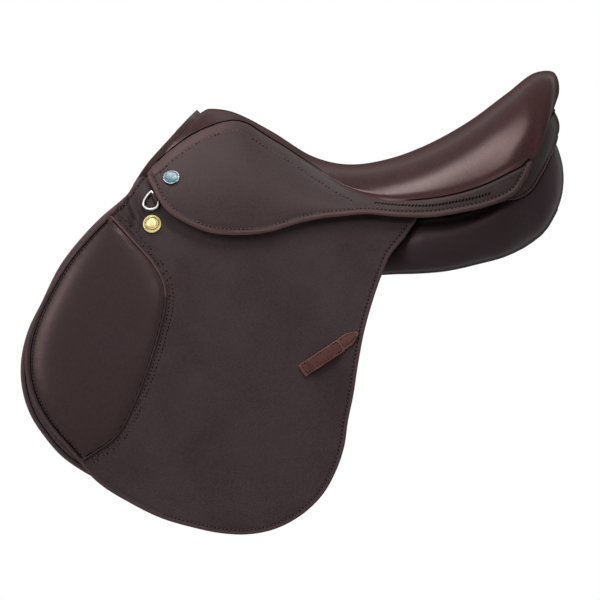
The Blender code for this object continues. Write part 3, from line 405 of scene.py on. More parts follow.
class Graph:
    """A shader tree with short ways to add its nodes."""

    def __init__(self, tree: bpy.types.NodeTree) -> None:
        """Takes the tree."""
        self.tree = tree
        self.link = tree.links.new

    def feed(self, socket: Socket, value: object) -> None:
        """Links a socket's value to another socket, or sets it."""
        if isinstance(value, Socket):
            self.link(value, socket)
        else:
            socket.default_value = value

    def add(self, kind: str, **values: object) -> bpy.types.Node:
        """Adds a node, sets its properties and feeds its inputs, named with _ for a space."""
        node = self.tree.nodes.new("ShaderNode" + kind)
        for label, value in values.items():
            if hasattr(node, label):
                setattr(node, label, value)
            else:
                self.feed(node.inputs[label.replace("_", " ")], value)
        return node

    def calc(self, operation: str, first: object, second: object) -> Socket:
        """A sum or other step on two sockets or numbers."""
        node = self.add("Math", operation=operation)
        self.feed(node.inputs[0], first)
        self.feed(node.inputs[1], second)
        return node.outputs[0]

    def mix(self, factor: object, first: object, second: object) -> Socket:
        """A mix of two colours by a factor."""
        node = self.add("Mix", data_type="RGBA")
        for place, value in ((0, factor), (6, first), (7, second)):
            self.feed(node.inputs[place], value)
        return node.outputs[2]

    def span(self, value: object, low: float, high: float, start: float, end: float) -> Socket:
        """A value carried from the range low to high to the range start to end."""
        node = self.add("MapRange", Value=value, From_Min=low, From_Max=high, To_Min=start, To_Max=end)
        return node.outputs["Result"]

    def noise(
        self, vector: object, scale: float, detail: float = 3.0, distortion: float = 0.0,
    ) -> Socket:
        """A noise texture's value."""
        node = self.add("TexNoise", Vector=vector, Scale=scale, Detail=detail, Distortion=distortion)
        return node.outputs["Fac"]

    def shared(self, kind: str, vector: object, **values: object) -> bpy.types.bpy_prop_collection:
        """The outputs of a shared group, which is built the first time."""
        node = self.add("Group")
        node.node_tree = bpy.data.node_groups.get(kind) or GROUPS[kind](kind)
        for label, value in {"Vector": vector, **values}.items():
            self.feed(node.inputs[label], value)
        return node.outputs

    def bump(self, shader: bpy.types.Node, height: object, strength: float, depth: float) -> None:
        """Feeds a height into the shader's normal; depth is in metres."""
        node = self.add("Bump", Strength=strength, Distance=depth, Height=height)
        self.link(node.outputs["Normal"], shader.inputs["Normal"])


def opaque(colour: Sequence[float]) -> tuple:
    """A colour with a full alpha."""
    return (*colour, 1.0)


def add_group(name: str, inputs: dict[str, object], outputs: Sequence[str]) -> tuple:
    """An empty shader group with a Vector input and other named sockets.

    Args:
        name: the group's name.
        inputs: the default of each further input, a number or a colour.
        outputs: the names of its outputs; the one called Color is a colour.

    Returns:
        The group's graph, its own inputs to read and its own outputs to feed.
    """
    tree = bpy.data.node_groups.new(name, "ShaderNodeTree")
    tree.interface.new_socket(name="Vector", in_out="INPUT", socket_type="NodeSocketVector")
    for label, value in inputs.items():
        kind = "NodeSocketColor" if isinstance(value, tuple) else "NodeSocketFloat"
        tree.interface.new_socket(name=label, in_out="INPUT", socket_type=kind).default_value = value
    for label in outputs:
        kind = "NodeSocketColor" if label == "Color" else "NodeSocketFloat"
        tree.interface.new_socket(name=label, in_out="OUTPUT", socket_type=kind)
    ends = tree.nodes.new("NodeGroupInput").outputs, tree.nodes.new("NodeGroupOutput").inputs
    return Graph(tree), *ends


def grain_group(name: str) -> bpy.types.NodeTree:
    """Pebbled hide: small cells with creases between them, and pores; Crease masks the painted shade in
    the creases.
    """
    graph, source, sink = add_group(name, {"Cells": 700.0, "Pebble": 1.0}, ("Height", "Crease"))
    where, pebble = source["Vector"], source["Pebble"]
    warp = graph.add("TexNoise", Vector=where, Scale=260.0, Detail=2.0)
    shift = graph.add("VectorMath", operation="MULTIPLY_ADD")
    for place, value in enumerate((warp.outputs["Color"], (0.0016, 0.0016, 0.0016), where)):
        graph.feed(shift.inputs[place], value)
    cells = graph.add(
        "TexVoronoi", feature="DISTANCE_TO_EDGE", Vector=shift.outputs[0], Scale=source["Cells"],
    )
    crease = graph.span(cells.outputs["Distance"], 0.0, 0.22, 1.0, 0.0)
    pores = graph.calc("MULTIPLY", graph.noise(where, 1500.0, 2.0), 0.35)
    folds = graph.calc("MULTIPLY", graph.noise(where, 95.0, 5.0, 0.6), 0.9)
    body = graph.calc("MULTIPLY", graph.calc("SUBTRACT", 1.0, crease), pebble)
    graph.link(graph.calc("ADD", graph.calc("ADD", body, pores), folds), sink["Height"])
    # Crease: the creases' mask, which the tone group turns into painted shade.
    graph.link(graph.calc("MULTIPLY", crease, pebble), sink["Crease"])
    return graph.tree


def tone_group(name: str) -> bpy.types.NodeTree:
    """Dyed hide: slow drift between two tones, with a redder, rubbed rim and painted shade in the grain's
    creases.
    """
    brown = (0.05, 0.03, 0.03, 1.0)
    inputs = {"Base": brown, "Deep": brown, "Worn": brown, "Rim": 0.0, "Crease": 0.0}
    graph, source, sink = add_group(name, inputs, ("Color", "Cloud"))
    where, worn_tone = source["Vector"], source["Worn"]
    cloud = graph.noise(where, 14.0, 6.0, 0.4)
    colour = graph.mix(graph.span(cloud, 0.35, 0.68, 0.0, 1.0), source["Base"], source["Deep"])
    fleck = graph.span(graph.noise(where, 420.0), 0.4, 0.72, 0.0, 0.30)
    colour = graph.mix(fleck, colour, worn_tone)
    # Painted shade: the grain's creases are darkened toward near-black.
    colour = graph.mix(graph.calc("MULTIPLY", source["Crease"], 0.3), colour, (0.006, 0.004, 0.004, 1.0))
    patches = graph.span(graph.noise(where, 70.0, 4.0), 0.3, 0.6, 0.65, 1.0)
    colour = graph.mix(graph.calc("MULTIPLY", source["Rim"], patches), colour, worn_tone)
    graph.link(colour, sink["Color"])
    graph.link(cloud, sink["Cloud"])
    return graph.tree


def metal_group(name: str) -> bpy.types.NodeTree:
    """Plated metal: fine rub marks and a dull bloom."""
    grey = (0.5, 0.5, 0.5, 1.0)
    inputs = {"Clean": grey, "Dull": grey, "Polish": 0.15}
    graph, source, sink = add_group(name, inputs, ("Color", "Roughness", "Height"))
    bloom = graph.noise(source["Vector"], 180.0, 5.0, 0.8)
    colour = graph.mix(graph.span(bloom, 0.45, 0.8, 0.0, 0.8), source["Clean"], source["Dull"])
    graph.link(colour, sink["Color"])
    rough = graph.calc("ADD", source["Polish"], graph.calc("MULTIPLY", bloom, 0.22))
    graph.link(rough, sink["Roughness"])
    graph.link(graph.noise(source["Vector"], 1400.0, 3.0, 2.0), sink["Height"])
    return graph.tree


def weave_group(name: str) -> bpy.types.NodeTree:
    """Woven threads over and under, from two directions of the object."""
    graph, source, sink = add_group(name, {"Threads": 260.0}, ("Height", "Thread"))
    over = under = 1.0
    for direction in ("X", "Y"):
        wave = graph.add(
            "TexWave", bands_direction=direction, Vector=source["Vector"], Scale=source["Threads"],
            Distortion=1.2, Detail=2.0,
        ).outputs["Fac"]
        over = graph.calc("MULTIPLY", over, wave)
        under = graph.calc("MULTIPLY", under, graph.calc("SUBTRACT", 1.0, wave))
    graph.link(graph.calc("ADD", over, under), sink["Height"])
    graph.link(graph.noise(source["Vector"], 500.0, 4.0), sink["Thread"])
    return graph.tree


GROUPS = {"grain": grain_group, "tone": tone_group, "metal": metal_group, "weave": weave_group}


def begin_material(name: str) -> tuple[bpy.types.Material, Graph, bpy.types.Node, Socket]:
    """A new material with its graph, its Principled shader and Object coordinates."""
    made = bpy.data.materials.new("finish_" + name)
    made.use_nodes = True
    graph = Graph(made.node_tree)
    where = graph.add("TexCoord").outputs["Object"]
    return made, graph, made.node_tree.nodes["Principled BSDF"], where


@dataclass(frozen=True)
class LeatherFinish:
    """A dyed and finished hide; the rim mask is worn above 0."""

    name: str
    base: tuple
    deep: tuple
    worn: tuple
    roughness: tuple
    cells: float
    pebble: float
    depth: float
    gloss: float
    tint: tuple = (1.0, 0.70, 0.67)

    def build(self) -> bpy.types.Material:
        """Makes the material."""
        made, graph, shader, where = begin_material(self.name)
        rim = graph.add("Attribute", attribute_name="rim").outputs["Fac"]
        grain = graph.shared("grain", where, Cells=self.cells, Pebble=self.pebble)
        tone = graph.shared(
            "tone", where, Base=opaque(self.base), Deep=opaque(self.deep), Worn=opaque(self.worn),
            Rim=rim, Crease=grain["Crease"],
        )
        graph.link(tone["Color"], shader.inputs["Base Color"])
        rough = graph.span(tone["Cloud"], 0.3, 0.7, *self.roughness)
        rough = graph.calc("SUBTRACT", rough, graph.calc("MULTIPLY", rim, 0.06))
        turn = graph.add("LayerWeight", Blend=0.5).outputs["Facing"]
        rough = graph.calc("MAXIMUM", rough, graph.span(turn, 0.45, 0.85, 0.0, 0.95))
        graph.link(rough, shader.inputs["Roughness"])
        shader.inputs["Specular IOR Level"].default_value = self.gloss
        shader.inputs["Specular Tint"].default_value = opaque(self.tint)
        graph.bump(shader, grain["Height"], 0.7, self.depth)
        return made


@dataclass(frozen=True)
class MetalFinish:
    """A bright or dull metal, with painted reflection: its colour darkens toward grazing angles."""

    name: str
    clean: tuple
    dull: tuple
    polish: float
    metallic: float = 1.0
    depth: float = 0.00002

    def build(self) -> bpy.types.Material:
        """Makes the material."""
        made, graph, shader, where = begin_material(self.name)
        wear = graph.shared(
            "metal", where, Clean=opaque(self.clean), Dull=opaque(self.dull), Polish=self.polish,
        )
        # Painted reflection: the colour is mixed toward a dark tone as the surface turns away from the
        # view.
        turn = graph.add("LayerWeight", Blend=0.45).outputs["Facing"]
        away = graph.span(turn, 0.15, 0.85, 0.0, 0.75)
        shade = opaque(tuple(part * 0.22 for part in self.dull))
        graph.link(graph.mix(away, wear["Color"], shade), shader.inputs["Base Color"])
        graph.link(wear["Roughness"], shader.inputs["Roughness"])
        shader.inputs["Metallic"].default_value = self.metallic
        graph.bump(shader, wear["Height"], 0.3, self.depth)
        return made


@dataclass(frozen=True)
class ClothFinish:
    """Woven web or cover cloth."""

    name: str
    warp: tuple
    weft: tuple
    threads: float
    depth: float

    def build(self) -> bpy.types.Material:
        """Makes the material."""
        made, graph, shader, where = begin_material(self.name)
        weave = graph.shared("weave", where, Threads=self.threads)
        weft = opaque(self.weft)
        colour = graph.mix(weave["Height"], weft, opaque(self.warp))
        colour = graph.mix(graph.span(weave["Thread"], 0.3, 0.8, 0.0, 0.3), colour, weft)
        graph.link(colour, shader.inputs["Base Color"])
        shader.inputs["Roughness"].default_value = 0.88
        shader.inputs["Sheen Weight"].default_value = 0.15
        graph.bump(shader, weave["Height"], 0.8, self.depth)
        return made


@dataclass(frozen=True)
class WoodFinish:
    """Laminated beech with its long grain."""

    name: str
    light: tuple
    dark: tuple

    def build(self) -> bpy.types.Material:
        """Makes the material."""
        made, graph, shader, where = begin_material(self.name)
        stretch = graph.add("Mapping", Vector=where, Scale=(1.0, 6.0, 6.0)).outputs["Vector"]
        rings, fibres = graph.noise(stretch, 22.0, 8.0, 1.4), graph.noise(stretch, 240.0)
        light, dark = opaque(self.light), opaque(self.dark)
        colour = graph.mix(graph.span(rings, 0.35, 0.65, 0.0, 1.0), light, dark)
        colour = graph.mix(graph.span(fibres, 0.4, 0.7, 0.0, 0.4), colour, dark)
        graph.link(colour, shader.inputs["Base Color"])
        graph.link(graph.span(rings, 0.3, 0.7, 0.42, 0.6), shader.inputs["Roughness"])
        graph.bump(shader, fibres, 0.4, 0.0001)
        return made


@dataclass(frozen=True)
class ThreadFinish:
    """Waxed sewing thread."""

    name: str
    colour: tuple
    shade: tuple
    gloss: float = 0.12

    def build(self) -> bpy.types.Material:
        """Makes the material."""
        made, graph, shader, where = begin_material(self.name)
        shader.inputs["Specular IOR Level"].default_value = self.gloss
        twist = graph.noise(where, 1800.0, 2.0)
        colour = graph.mix(twist, opaque(self.colour), opaque(self.shade))
        graph.link(colour, shader.inputs["Base Color"])
        graph.link(graph.span(twist, 0.3, 0.7, 0.7, 0.9), shader.inputs["Roughness"])
        graph.bump(shader, twist, 0.5, 0.0001)
        return made


class Finish(Enum):
    """Every finish on the saddle."""

    SEAT = LeatherFinish(
        "seat_calf", (0.030, 0.0120, 0.0125), (0.022, 0.009, 0.0095), (0.062, 0.030, 0.029),
        roughness=(0.17, 0.21), cells=1500.0, pebble=0.25, depth=0.00003, gloss=0.095,
    )
    SKIRT = LeatherFinish(
        "skirt_leather", (0.038, 0.028, 0.0295), (0.034, 0.024, 0.025), (0.078, 0.044, 0.043),
        roughness=(0.48, 0.58), cells=800.0, pebble=0.8, depth=0.00008, gloss=0.09,
    )
    FLAP = LeatherFinish(
        "flap_leather", (0.038, 0.0275, 0.0310), (0.028, 0.019, 0.021), (0.060, 0.036, 0.036),
        roughness=(0.50, 0.62), cells=620.0, pebble=1.0, depth=0.00014, gloss=0.10,
    )
    INSERT = LeatherFinish(
        "insert_calf", (0.0225, 0.0155, 0.0168), (0.020, 0.0125, 0.0135), (0.052, 0.026, 0.026),
        roughness=(0.26, 0.33), cells=1400.0, pebble=0.35, depth=0.00004, gloss=0.18,
    )
    FACING = LeatherFinish(
        "facing_leather", (0.025, 0.019, 0.019), (0.018, 0.014, 0.014), (0.050, 0.031, 0.030),
        roughness=(0.44, 0.54), cells=900.0, pebble=0.6, depth=0.00008, gloss=0.12,
    )
    PANEL = LeatherFinish(
        "panel_hide", (0.0165, 0.0110, 0.0155), (0.012, 0.008, 0.010), (0.034, 0.020, 0.021),
        roughness=(0.40, 0.48), cells=1100.0, pebble=0.35, depth=0.00006, gloss=0.20,
    )
    KEEPER = LeatherFinish(
        "keeper_leather", (0.070, 0.024, 0.020), (0.040, 0.015, 0.013), (0.13, 0.055, 0.043),
        roughness=(0.48, 0.6), cells=900.0, pebble=0.7, depth=0.00010, gloss=0.20,
    )
    STRAP = LeatherFinish(
        "strap_leather", (0.050, 0.021, 0.016), (0.031, 0.015, 0.013), (0.11, 0.046, 0.034),
        roughness=(0.48, 0.6), cells=900.0, pebble=0.5, depth=0.0001, gloss=0.20,
    )
    # The insert welt's upper part: lighter, redder leather as a painted highlight.
    WELT = LeatherFinish(
        "welt_leather", (0.070, 0.036, 0.036), (0.034, 0.020, 0.021), (0.12, 0.06, 0.058),
        roughness=(0.44, 0.54), cells=900.0, pebble=0.5, depth=0.00006, gloss=0.24,
    )
    # A lighter copy of the flap's leather: painted light on the sweat flap, which lies deeper.
    SWEAT = LeatherFinish(
        "sweat_leather", (0.062, 0.044, 0.049), (0.048, 0.034, 0.038), (0.085, 0.058, 0.062),
        roughness=(0.50, 0.60), cells=620.0, pebble=0.8, depth=0.0001, gloss=0.12,
    )
    THREAD = ThreadFinish("seam_thread", (0.125, 0.078, 0.075), (0.070, 0.043, 0.042))
    SOFT_THREAD = ThreadFinish("soft_thread", (0.080, 0.048, 0.047), (0.045, 0.028, 0.028))
    # Near-black and without gloss: painted shade in seams and under stitches, and also dark thread for
    # the sweat flap and the skirt's cord row.
    DARK_THREAD = ThreadFinish("dark_thread", (0.008, 0.005, 0.005), (0.004, 0.003, 0.003), gloss=0.0)
    NICKEL = MetalFinish("bright_nickel", (0.50, 0.49, 0.47), (0.18, 0.18, 0.18), polish=0.20)
    BRASS = MetalFinish("pale_brass", (0.68, 0.58, 0.27), (0.34, 0.25, 0.09), polish=0.24)
    STEEL = MetalFinish("forged_steel", (0.50, 0.51, 0.52), (0.26, 0.26, 0.27), polish=0.32)
    ENAMEL = MetalFinish(
        "blue_enamel", (0.022, 0.105, 0.135), (0.014, 0.070, 0.095),
        polish=0.22, metallic=0.0, depth=0.00001,
    )
    BEECH = WoodFinish("sealed_beech", (0.52, 0.34, 0.18), (0.34, 0.20, 0.10))
    WEB = ClothFinish("jute_web", (0.50, 0.43, 0.31), (0.30, 0.25, 0.17), threads=300.0, depth=0.0004)
    COVER = ClothFinish(
        "foam_cover", (0.42, 0.40, 0.36), (0.30, 0.29, 0.26), threads=700.0, depth=0.00015,
    )

    def material(self) -> bpy.types.Material:
        """The finish's material, made once."""
        return bpy.data.materials.get("finish_" + self.value.name) or self.value.build()


def dress(piece: Piece, finish: Finish) -> None:
    """Gives a piece one finish all over; the strip under a row of stitches gets the near-black finish as
    painted shade.
    """
    stitched = int(piece.get("stitch_faces", 0))
    piece.data.materials.clear()
    piece.data.materials.append(finish.material())
    if stitched:
        piece.data.materials.append(Finish.DARK_THREAD.material())
        for face in piece.data.polygons[stitched:]:
            face.material_index = 1


def settle(
    piece: Piece, finish: Finish, body: str = "saddle_body",
    stands_for: Sequence[str] = (),
) -> Piece:
    """Dresses a finished piece and ties it to the frame.

    Args:
        piece: the piece.
        finish: its finish.
        body: the body that it moves with.
        stands_for: the nodes that it replaces.

    Returns:
        The same piece.
    """
    dress(piece, finish)
    if body:
        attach(piece, body)
    if stands_for:
        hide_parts(*stands_for)
    LOG.info("piece %s: %d faces", piece.name, len(piece.data.polygons))
    return piece


@dataclass(frozen=True)
class Stitch:
    """One stitch of a row, in mm, with its lean in degrees; it lies on a near-black strip of painted
    shade, reaching crease to each side.
    """

    pitch: float = 4.2
    length: float = 2.8
    width: float = 1.15
    slant: float = 7.0
    crease: float = 0.62


class Needlework:
    """Makes rows of stitches and cords; the one stitch is modelled once and copied."""

    flatness: float = 0.8
    # The near-black strip under each row: painted shade in the stitch groove.
    crease_edge: float = 0.02
    crease_rise: float = 0.12
    crease_root: float = 0.5

    def __init__(self) -> None:
        """Models one stitch as a slim bead with tapered ends."""
        drop_selection()
        bpy.ops.mesh.primitive_uv_sphere_add(segments=6, ring_count=5, radius=0.5)
        bead = bpy.context.object
        self.verts = np.array([tuple(v.co) for v in bead.data.vertices])
        self.faces = [tuple(p.vertices) for p in bead.data.polygons]
        bpy.data.objects.remove(bead, do_unlink=True)

    def row(self, name: str, points: np.ndarray, outward: np.ndarray, stitch: Stitch) -> Piece:
        """A row of stitches along a line, over a near-black strip of painted shade.

        Args:
            name: the row's name.
            points: the stitches' places in mm, in order.
            outward: the surface's outward direction at each.
            stitch: the measures of each stitch.

        Returns:
            The row as one piece.
        """
        ahead, outward = unit(np.gradient(points, axis=0)), unit(outward)
        across = unit(np.cross(outward, ahead))
        lean = math.radians(stitch.slant)
        run = ahead * math.cos(lean) + across * math.sin(lean)
        wide = across * math.cos(lean) - ahead * math.sin(lean)
        height = stitch.width * self.flatness
        verts = points[:, None, :]
        for way, axis, size in ((run, 2, stitch.length), (wide, 0, stitch.width), (outward, 1, height)):
            verts = verts + way[:, None, :] * (self.verts[None, :, axis:axis + 1] * size)
        verts, count = verts.reshape(-1, 3), len(self.verts)
        faces = [tuple(k + i * count for k in face) for i in range(len(points)) for face in self.faces]
        stitched, base = len(faces), len(verts)
        # A near-black strip under the stitches: painted shade in their groove.
        low, side = points - outward * self.crease_edge, across * stitch.crease
        high, root = low + outward * self.crease_rise, low - outward * self.crease_root
        rings = [low - side, high, low + side, root]
        verts = np.vstack([verts, np.stack(rings, axis=1).reshape(-1, 3)])
        for i in range(len(points) - 1):
            for k in range(4):
                a, b = base + 4 * i + k, base + 4 * i + (k + 1) % 4
                faces.append((a, b, b + 4, a + 4))
        last = base + 4 * (len(points) - 1)
        faces += [(base + 3, base + 2, base + 1, base), (last, last + 1, last + 2, last + 3)]
        piece = mesh_piece(name, verts, faces)
        piece["stitch_faces"] = stitched
        make_smooth(piece, 80.0)
        face_outwards(piece)
        return piece

    def sheet_row(
        self, name: str, place: Place, along: np.ndarray, across: np.ndarray, stitch: Stitch,
    ) -> Piece:
        """A row of stitches along a line of shares on a shell that faces one way."""
        points, outward = place(along, across)
        line = resample(points, stitch.pitch)
        return self.row(name, line, everywhere(outward[0], line[:, 0]), stitch)

    def cord(self, name: str, path: np.ndarray, radius: float, closed: bool = False) -> Piece:
        """A round welt or wire along a path in mm, as a filled curve made into a mesh."""
        drop_selection()
        curve = bpy.data.curves.new(name, "CURVE")
        curve.dimensions = "3D"
        curve.bevel_depth = radius * MM
        curve.bevel_resolution = 4
        curve.use_fill_caps = True
        line = curve.splines.new("POLY")
        line.points.add(len(path) - 1)
        for knot, spot in zip(line.points, path):
            knot.co = (*(float(c) * MM for c in spot), 1.0)
        line.use_cyclic_u = closed
        piece = bpy.data.objects.new(name, curve)
        bpy.context.collection.objects.link(piece)
        choose(piece)
        bpy.ops.object.convert(target="MESH")
        piece = bpy.context.object
        make_smooth(piece, 60.0)
        return piece


@dataclass
class SideHide:
    """A leather sheet on one side of the saddle, between two outlines given as x and z."""

    name: str
    side: Side
    top: Outline
    bottom: Outline
    height: Height
    thickness: float
    rim: float = 1.0
    rows: int = 220
    columns: int = 40
    edge_steps: tuple = (0.0, 0.8, 1.6, 2.4, 3.2, 4.2, 5.2, 6.2, 7.2, 8.4, 10.0)
    mask_width: float = 3.0
    both_edges: bool = True
    extra: Height | None = None

    def cross_shares(self) -> np.ndarray:
        """Shares across the sheet, close together near its edges."""
        tops, bottoms = Spline(self.top).even(60), Spline(self.bottom).even(60)
        reach = float(np.median(np.linalg.norm(tops - bottoms, axis=1)))
        near = np.array(self.edge_steps) / max(reach, 25.0)
        near = near[near < 0.36]
        start = near if self.both_edges else near[:1]
        middle = np.linspace(start[-1], 1.0 - near[-1], self.columns)
        return np.unique(np.concatenate((start, middle[1:-1], 1.0 - near)))

    def flat(self, along: np.ndarray, across: np.ndarray) -> Pair:
        """x and z at shares along and across the sheet."""
        tops, bottoms = Spline(self.top).at(along), Spline(self.bottom).at(along)
        spots = tops + (bottoms - tops) * across[..., None]
        return spots[..., 0], spots[..., 1]

    def place(self, along: np.ndarray, across: np.ndarray) -> Pair:
        """Points and outward directions at shares along and across the sheet."""
        x, z = self.flat(along, across)
        return self.side.facing(x, FORM.side(x, z) + self.height(x, z), z)

    def mask(self, along: np.ndarray, across: np.ndarray) -> np.ndarray:
        """How near each point is to the sheet's lower or outer edge, from 0 to 1."""
        x, z = self.flat(along, across)
        gap = distance_to(Spline(self.bottom).even(240), x, z)
        rim = 1.0 - step(gap, self.mask_width * 0.5, self.mask_width * 1.6)
        if self.extra is None:
            return rim
        return np.maximum(rim * (1.0 - 0.45 * step(x, 20.0, 90.0)), self.extra(x, z))

    def build(self) -> Piece:
        """Makes the sheet."""
        rows, columns = shares(self.rows), self.cross_shares()
        return shell(self.name, self.place, rows, columns, self.thickness, self.rim, self.mask)


@dataclass
class SidePart:
    """Something that is made once for each side of the saddle."""

    side: Side
    needle: Needlework

    @property
    def tag(self) -> str:
        """The side's name at the end of a piece's name."""
        return self.side.tag

    @property
    def flap_body(self) -> str:
        """The body that moves with the side's flap."""
        return f"flap_body_{self.tag}"

    def lay(self, path: np.ndarray, lift: float | np.ndarray) -> np.ndarray:
        """A path of x and z carried onto the side, lifted off its surface by some mm."""
        x, z = path[:, 0], path[:, 1]
        return self.side.facing(x, FORM.side(x, z) + lift, z)[0]

    def cord(self, name: str, path: np.ndarray, radius: float, finish: Finish, body: str) -> Piece:
        """Lays a cord along a path in mm and gives it its finish and body."""
        return settle(self.needle.cord(f"{name}_{self.tag}", path, radius), finish, body)

    def sew(
        self, name: str, path: np.ndarray, height: Height, finish: Finish, body: str,
        stitch: Stitch = Stitch(),
    ) -> Piece:
        """Sews a row of stitches into the side's leather.

        Args:
            name: the row's name, without the side.
            path: its line, x and z.
            height: the leather's height over the side surface.
            finish: the thread.
            body: the body that the row moves with, or nothing to leave it untied.
            stitch: the measures of each stitch.

        Returns:
            The row as one piece.
        """
        path = resample(path, stitch.pitch)
        x, z = path[:, 0], path[:, 1]

        def face(px: np.ndarray, pz: np.ndarray) -> np.ndarray:
            """The leather's distance from the centre plane."""
            return FORM.side(px, pz) + height(px, pz)

        gap, proud = 0.6, 0.18
        tilt_x = (face(x + gap, z) - face(x - gap, z)) / (2.0 * gap)
        tilt_z = (face(x, z + gap) - face(x, z - gap)) / (2.0 * gap)
        outward = np.stack([-tilt_x, np.full_like(x, self.side.value), -tilt_z], axis=1)
        points, _ = self.side.facing(x, face(x, z) + proud, z)
        return settle(self.needle.row(f"{name}_{self.tag}", points, outward, stitch), finish, body)


@dataclass
class Seat:
    """Seat cover, its foam, and the pommel's and cantle's facings with their stitching."""

    needle: Needlework
    cover: float = 2.6
    foam_top: float = 3.6
    rear_seam: float = 0.86
    front_outer: tuple = (
        (77.0, 91.0), (81.5, 106.0), (76.0, 121.0), (64.0, 136.5), (52.0, 148.0), (37.0, 159.5),
        (0.0, 171.0),
    )
    front_inner: tuple = (
        (66.0, 91.0), (62.5, 98.5), (55.0, 110.0), (44.0, 122.0), (32.0, 132.0), (20.0, 137.5),
        (0.0, 140.5),
    )
    front_x: tuple = (
        -230.6, -226.2, -219.0, -210.4, -202.5, -194.4, -187.2, -180.3, -171.8, -163.5, -161.0,
    )
    front_z: tuple = (82.0, 91.0, 102.5, 115.0, 124.0, 133.0, 141.0, 149.0, 158.5, 168.0, 171.0)
    rear_upper: tuple = (
        (152.0, 124.0, 78.0), (176.0, 112.0, 97.0), (187.0, 104.0, 113.0), (195.0, 93.0, 132.0),
        (204.0, 75.0, 151.0), (211.5, 52.0, 164.5), (214.5, 27.0, 169.5), (215.0, 0.0, 171.0),
    )
    rear_lower: tuple = (
        (152.0, 124.0, 74.5), (175.0, 114.5, 76.0), (189.0, 103.0, 84.5), (200.0, 91.0, 101.0),
        (209.0, 74.0, 117.5), (215.0, 50.0, 131.0), (217.5, 24.0, 137.5), (218.0, 0.0, 139.0),
    )

    def cover_place(self, along: np.ndarray, across: np.ndarray) -> Pair:
        """The cover's face, drawn in where it is sewn down along its seam."""
        v = across * 2.0 - 1.0
        outward = FORM.seat_normal(along, v)
        tuck = 1.8 * np.clip((np.abs(v) - 0.955) / 0.045, 0.0, 1.0) ** 2
        fuller = 2.5 * hump(FORM.seat.at(along)[..., 0], -104.0, 58.0) * np.exp(-(v / 0.5) ** 4)
        return FORM.on_seat(along, v) + outward * (fuller - tuck)[..., None], outward

    def build_cover(self) -> None:
        """Makes the cover and the foam."""
        edge = np.array([0.0, 0.006, 0.013, 0.021, 0.031, 0.044])
        columns = np.concatenate((edge, np.linspace(0.06, 0.94, 84), 1.0 - edge[::-1]))
        cover = shell(
            "seat_cover", self.cover_place, shares(190), columns, self.cover, rim=0.6,
            mask=lambda along, across: 0.8 * (1.0 - step(0.5 - np.abs(across - 0.5), 0.004, 0.022)),
        )
        settle(cover, Finish.SEAT, stands_for=("seat_leather",))
        core = self.foam_core()
        settle(core, Finish.COVER, stands_for=("seat_foam",))

    def foam_core(self) -> Piece:
        """The foam in its cloth, thick in the middle and thin at its edges."""
        rows, columns = np.linspace(0.01, 0.963, 60), np.linspace(-0.857, 0.857, 25)
        u, v = np.meshgrid(rows, columns, indexing="ij")
        face, outward = FORM.on_seat(u, v), FORM.seat_normal(u, v)
        room = FORM.seat.at(u)[..., 6] - self.foam_top
        depth = self.foam_top + room * (1.0 - np.abs(v) ** 1.5)
        top, low = face - outward * self.foam_top, face - outward * depth[..., None]
        return closed_grid("seat_cushion", top, low)

    def front_place(self, along: np.ndarray, across: np.ndarray) -> Pair:
        """The pommel facing's front, rounded over its outer and inner edge."""
        half = np.abs(along * 2.0 - 1.0)
        sign = np.sign(along - 0.5)
        outer, inner = (Spline(line).at(1.0 - half) for line in (self.front_outer, self.front_inner))
        y, z = np.moveaxis(outer + (inner - outer) * across[..., None], -1, 0)
        x = np.interp(z, self.front_z, self.front_x)
        beads = 0.5 * hump(across, 0.12, 0.06) + 0.5 * hump(across, 0.88, 0.06)
        points = np.stack([x - (1.2 * np.sin(np.pi * across) + beads) + 0.8, sign * y, z], axis=-1)
        return points, everywhere((-1.0, 0.0, 0.0), along)

    def build_facings(self) -> None:
        """Makes the facing strips of the pommel and of the cantle, with their stitching."""
        front = shell(
            "pommel_front", self.front_place, shares(121), shares(22), thickness=6.6, rim=2.7,
            mask=worn(0.06),
        )
        settle(front, Finish.FACING, stands_for=("pommel_facing",))
        for label, share in (("outer", 0.2), ("inner", 0.8)):
            name, stitch = f"pommel_stitches_{label}", Stitch(length=3.0, width=0.85)
            along = np.linspace(0.02, 0.98, 90)
            across = np.full_like(along, share)
            row = self.needle.sheet_row(name, self.front_place, along, across, stitch)
            settle(row, Finish.SOFT_THREAD)
        rear = shell(
            "cantle_rear", self.rear_place, shares(181), shares(26), thickness=4.0, rim=1.2,
            mask=lambda along, across: hump(across, 1.0, 0.10),
        )
        settle(rear, Finish.SKIRT, stands_for=("cantle_facing",))
        stitch, inset = Stitch(width=1.0), 2.0
        along = np.linspace(0.04, 0.96, 400)
        points, outward = self.rear_place(along, np.full_like(along, self.rear_seam))
        knots = arc_lengths(points)
        marks = np.arange(inset, knots[-1] - inset, stitch.pitch)
        points, outward = (read_along(grid, knots, marks) for grid in (points, outward))
        row = self.needle.row("cantle_stitches_low", points, outward, stitch)
        settle(row, Finish.SOFT_THREAD)
        self.crease("cantle_crease_low", share=1.0, radius=1.3, sink=0.9)
        self.crease("cantle_crease_high", share=0.0, radius=1.2, sink=-0.2)

    def crease(self, name: str, share: float, radius: float, sink: float) -> None:
        """Lays a near-black cord as painted shade in a seam along the cantle strip."""
        along = np.linspace(0.03, 0.97, 260)
        points, outward = self.rear_place(along, np.full_like(along, share))
        settle(self.needle.cord(name, points - outward * sink, radius), Finish.DARK_THREAD)

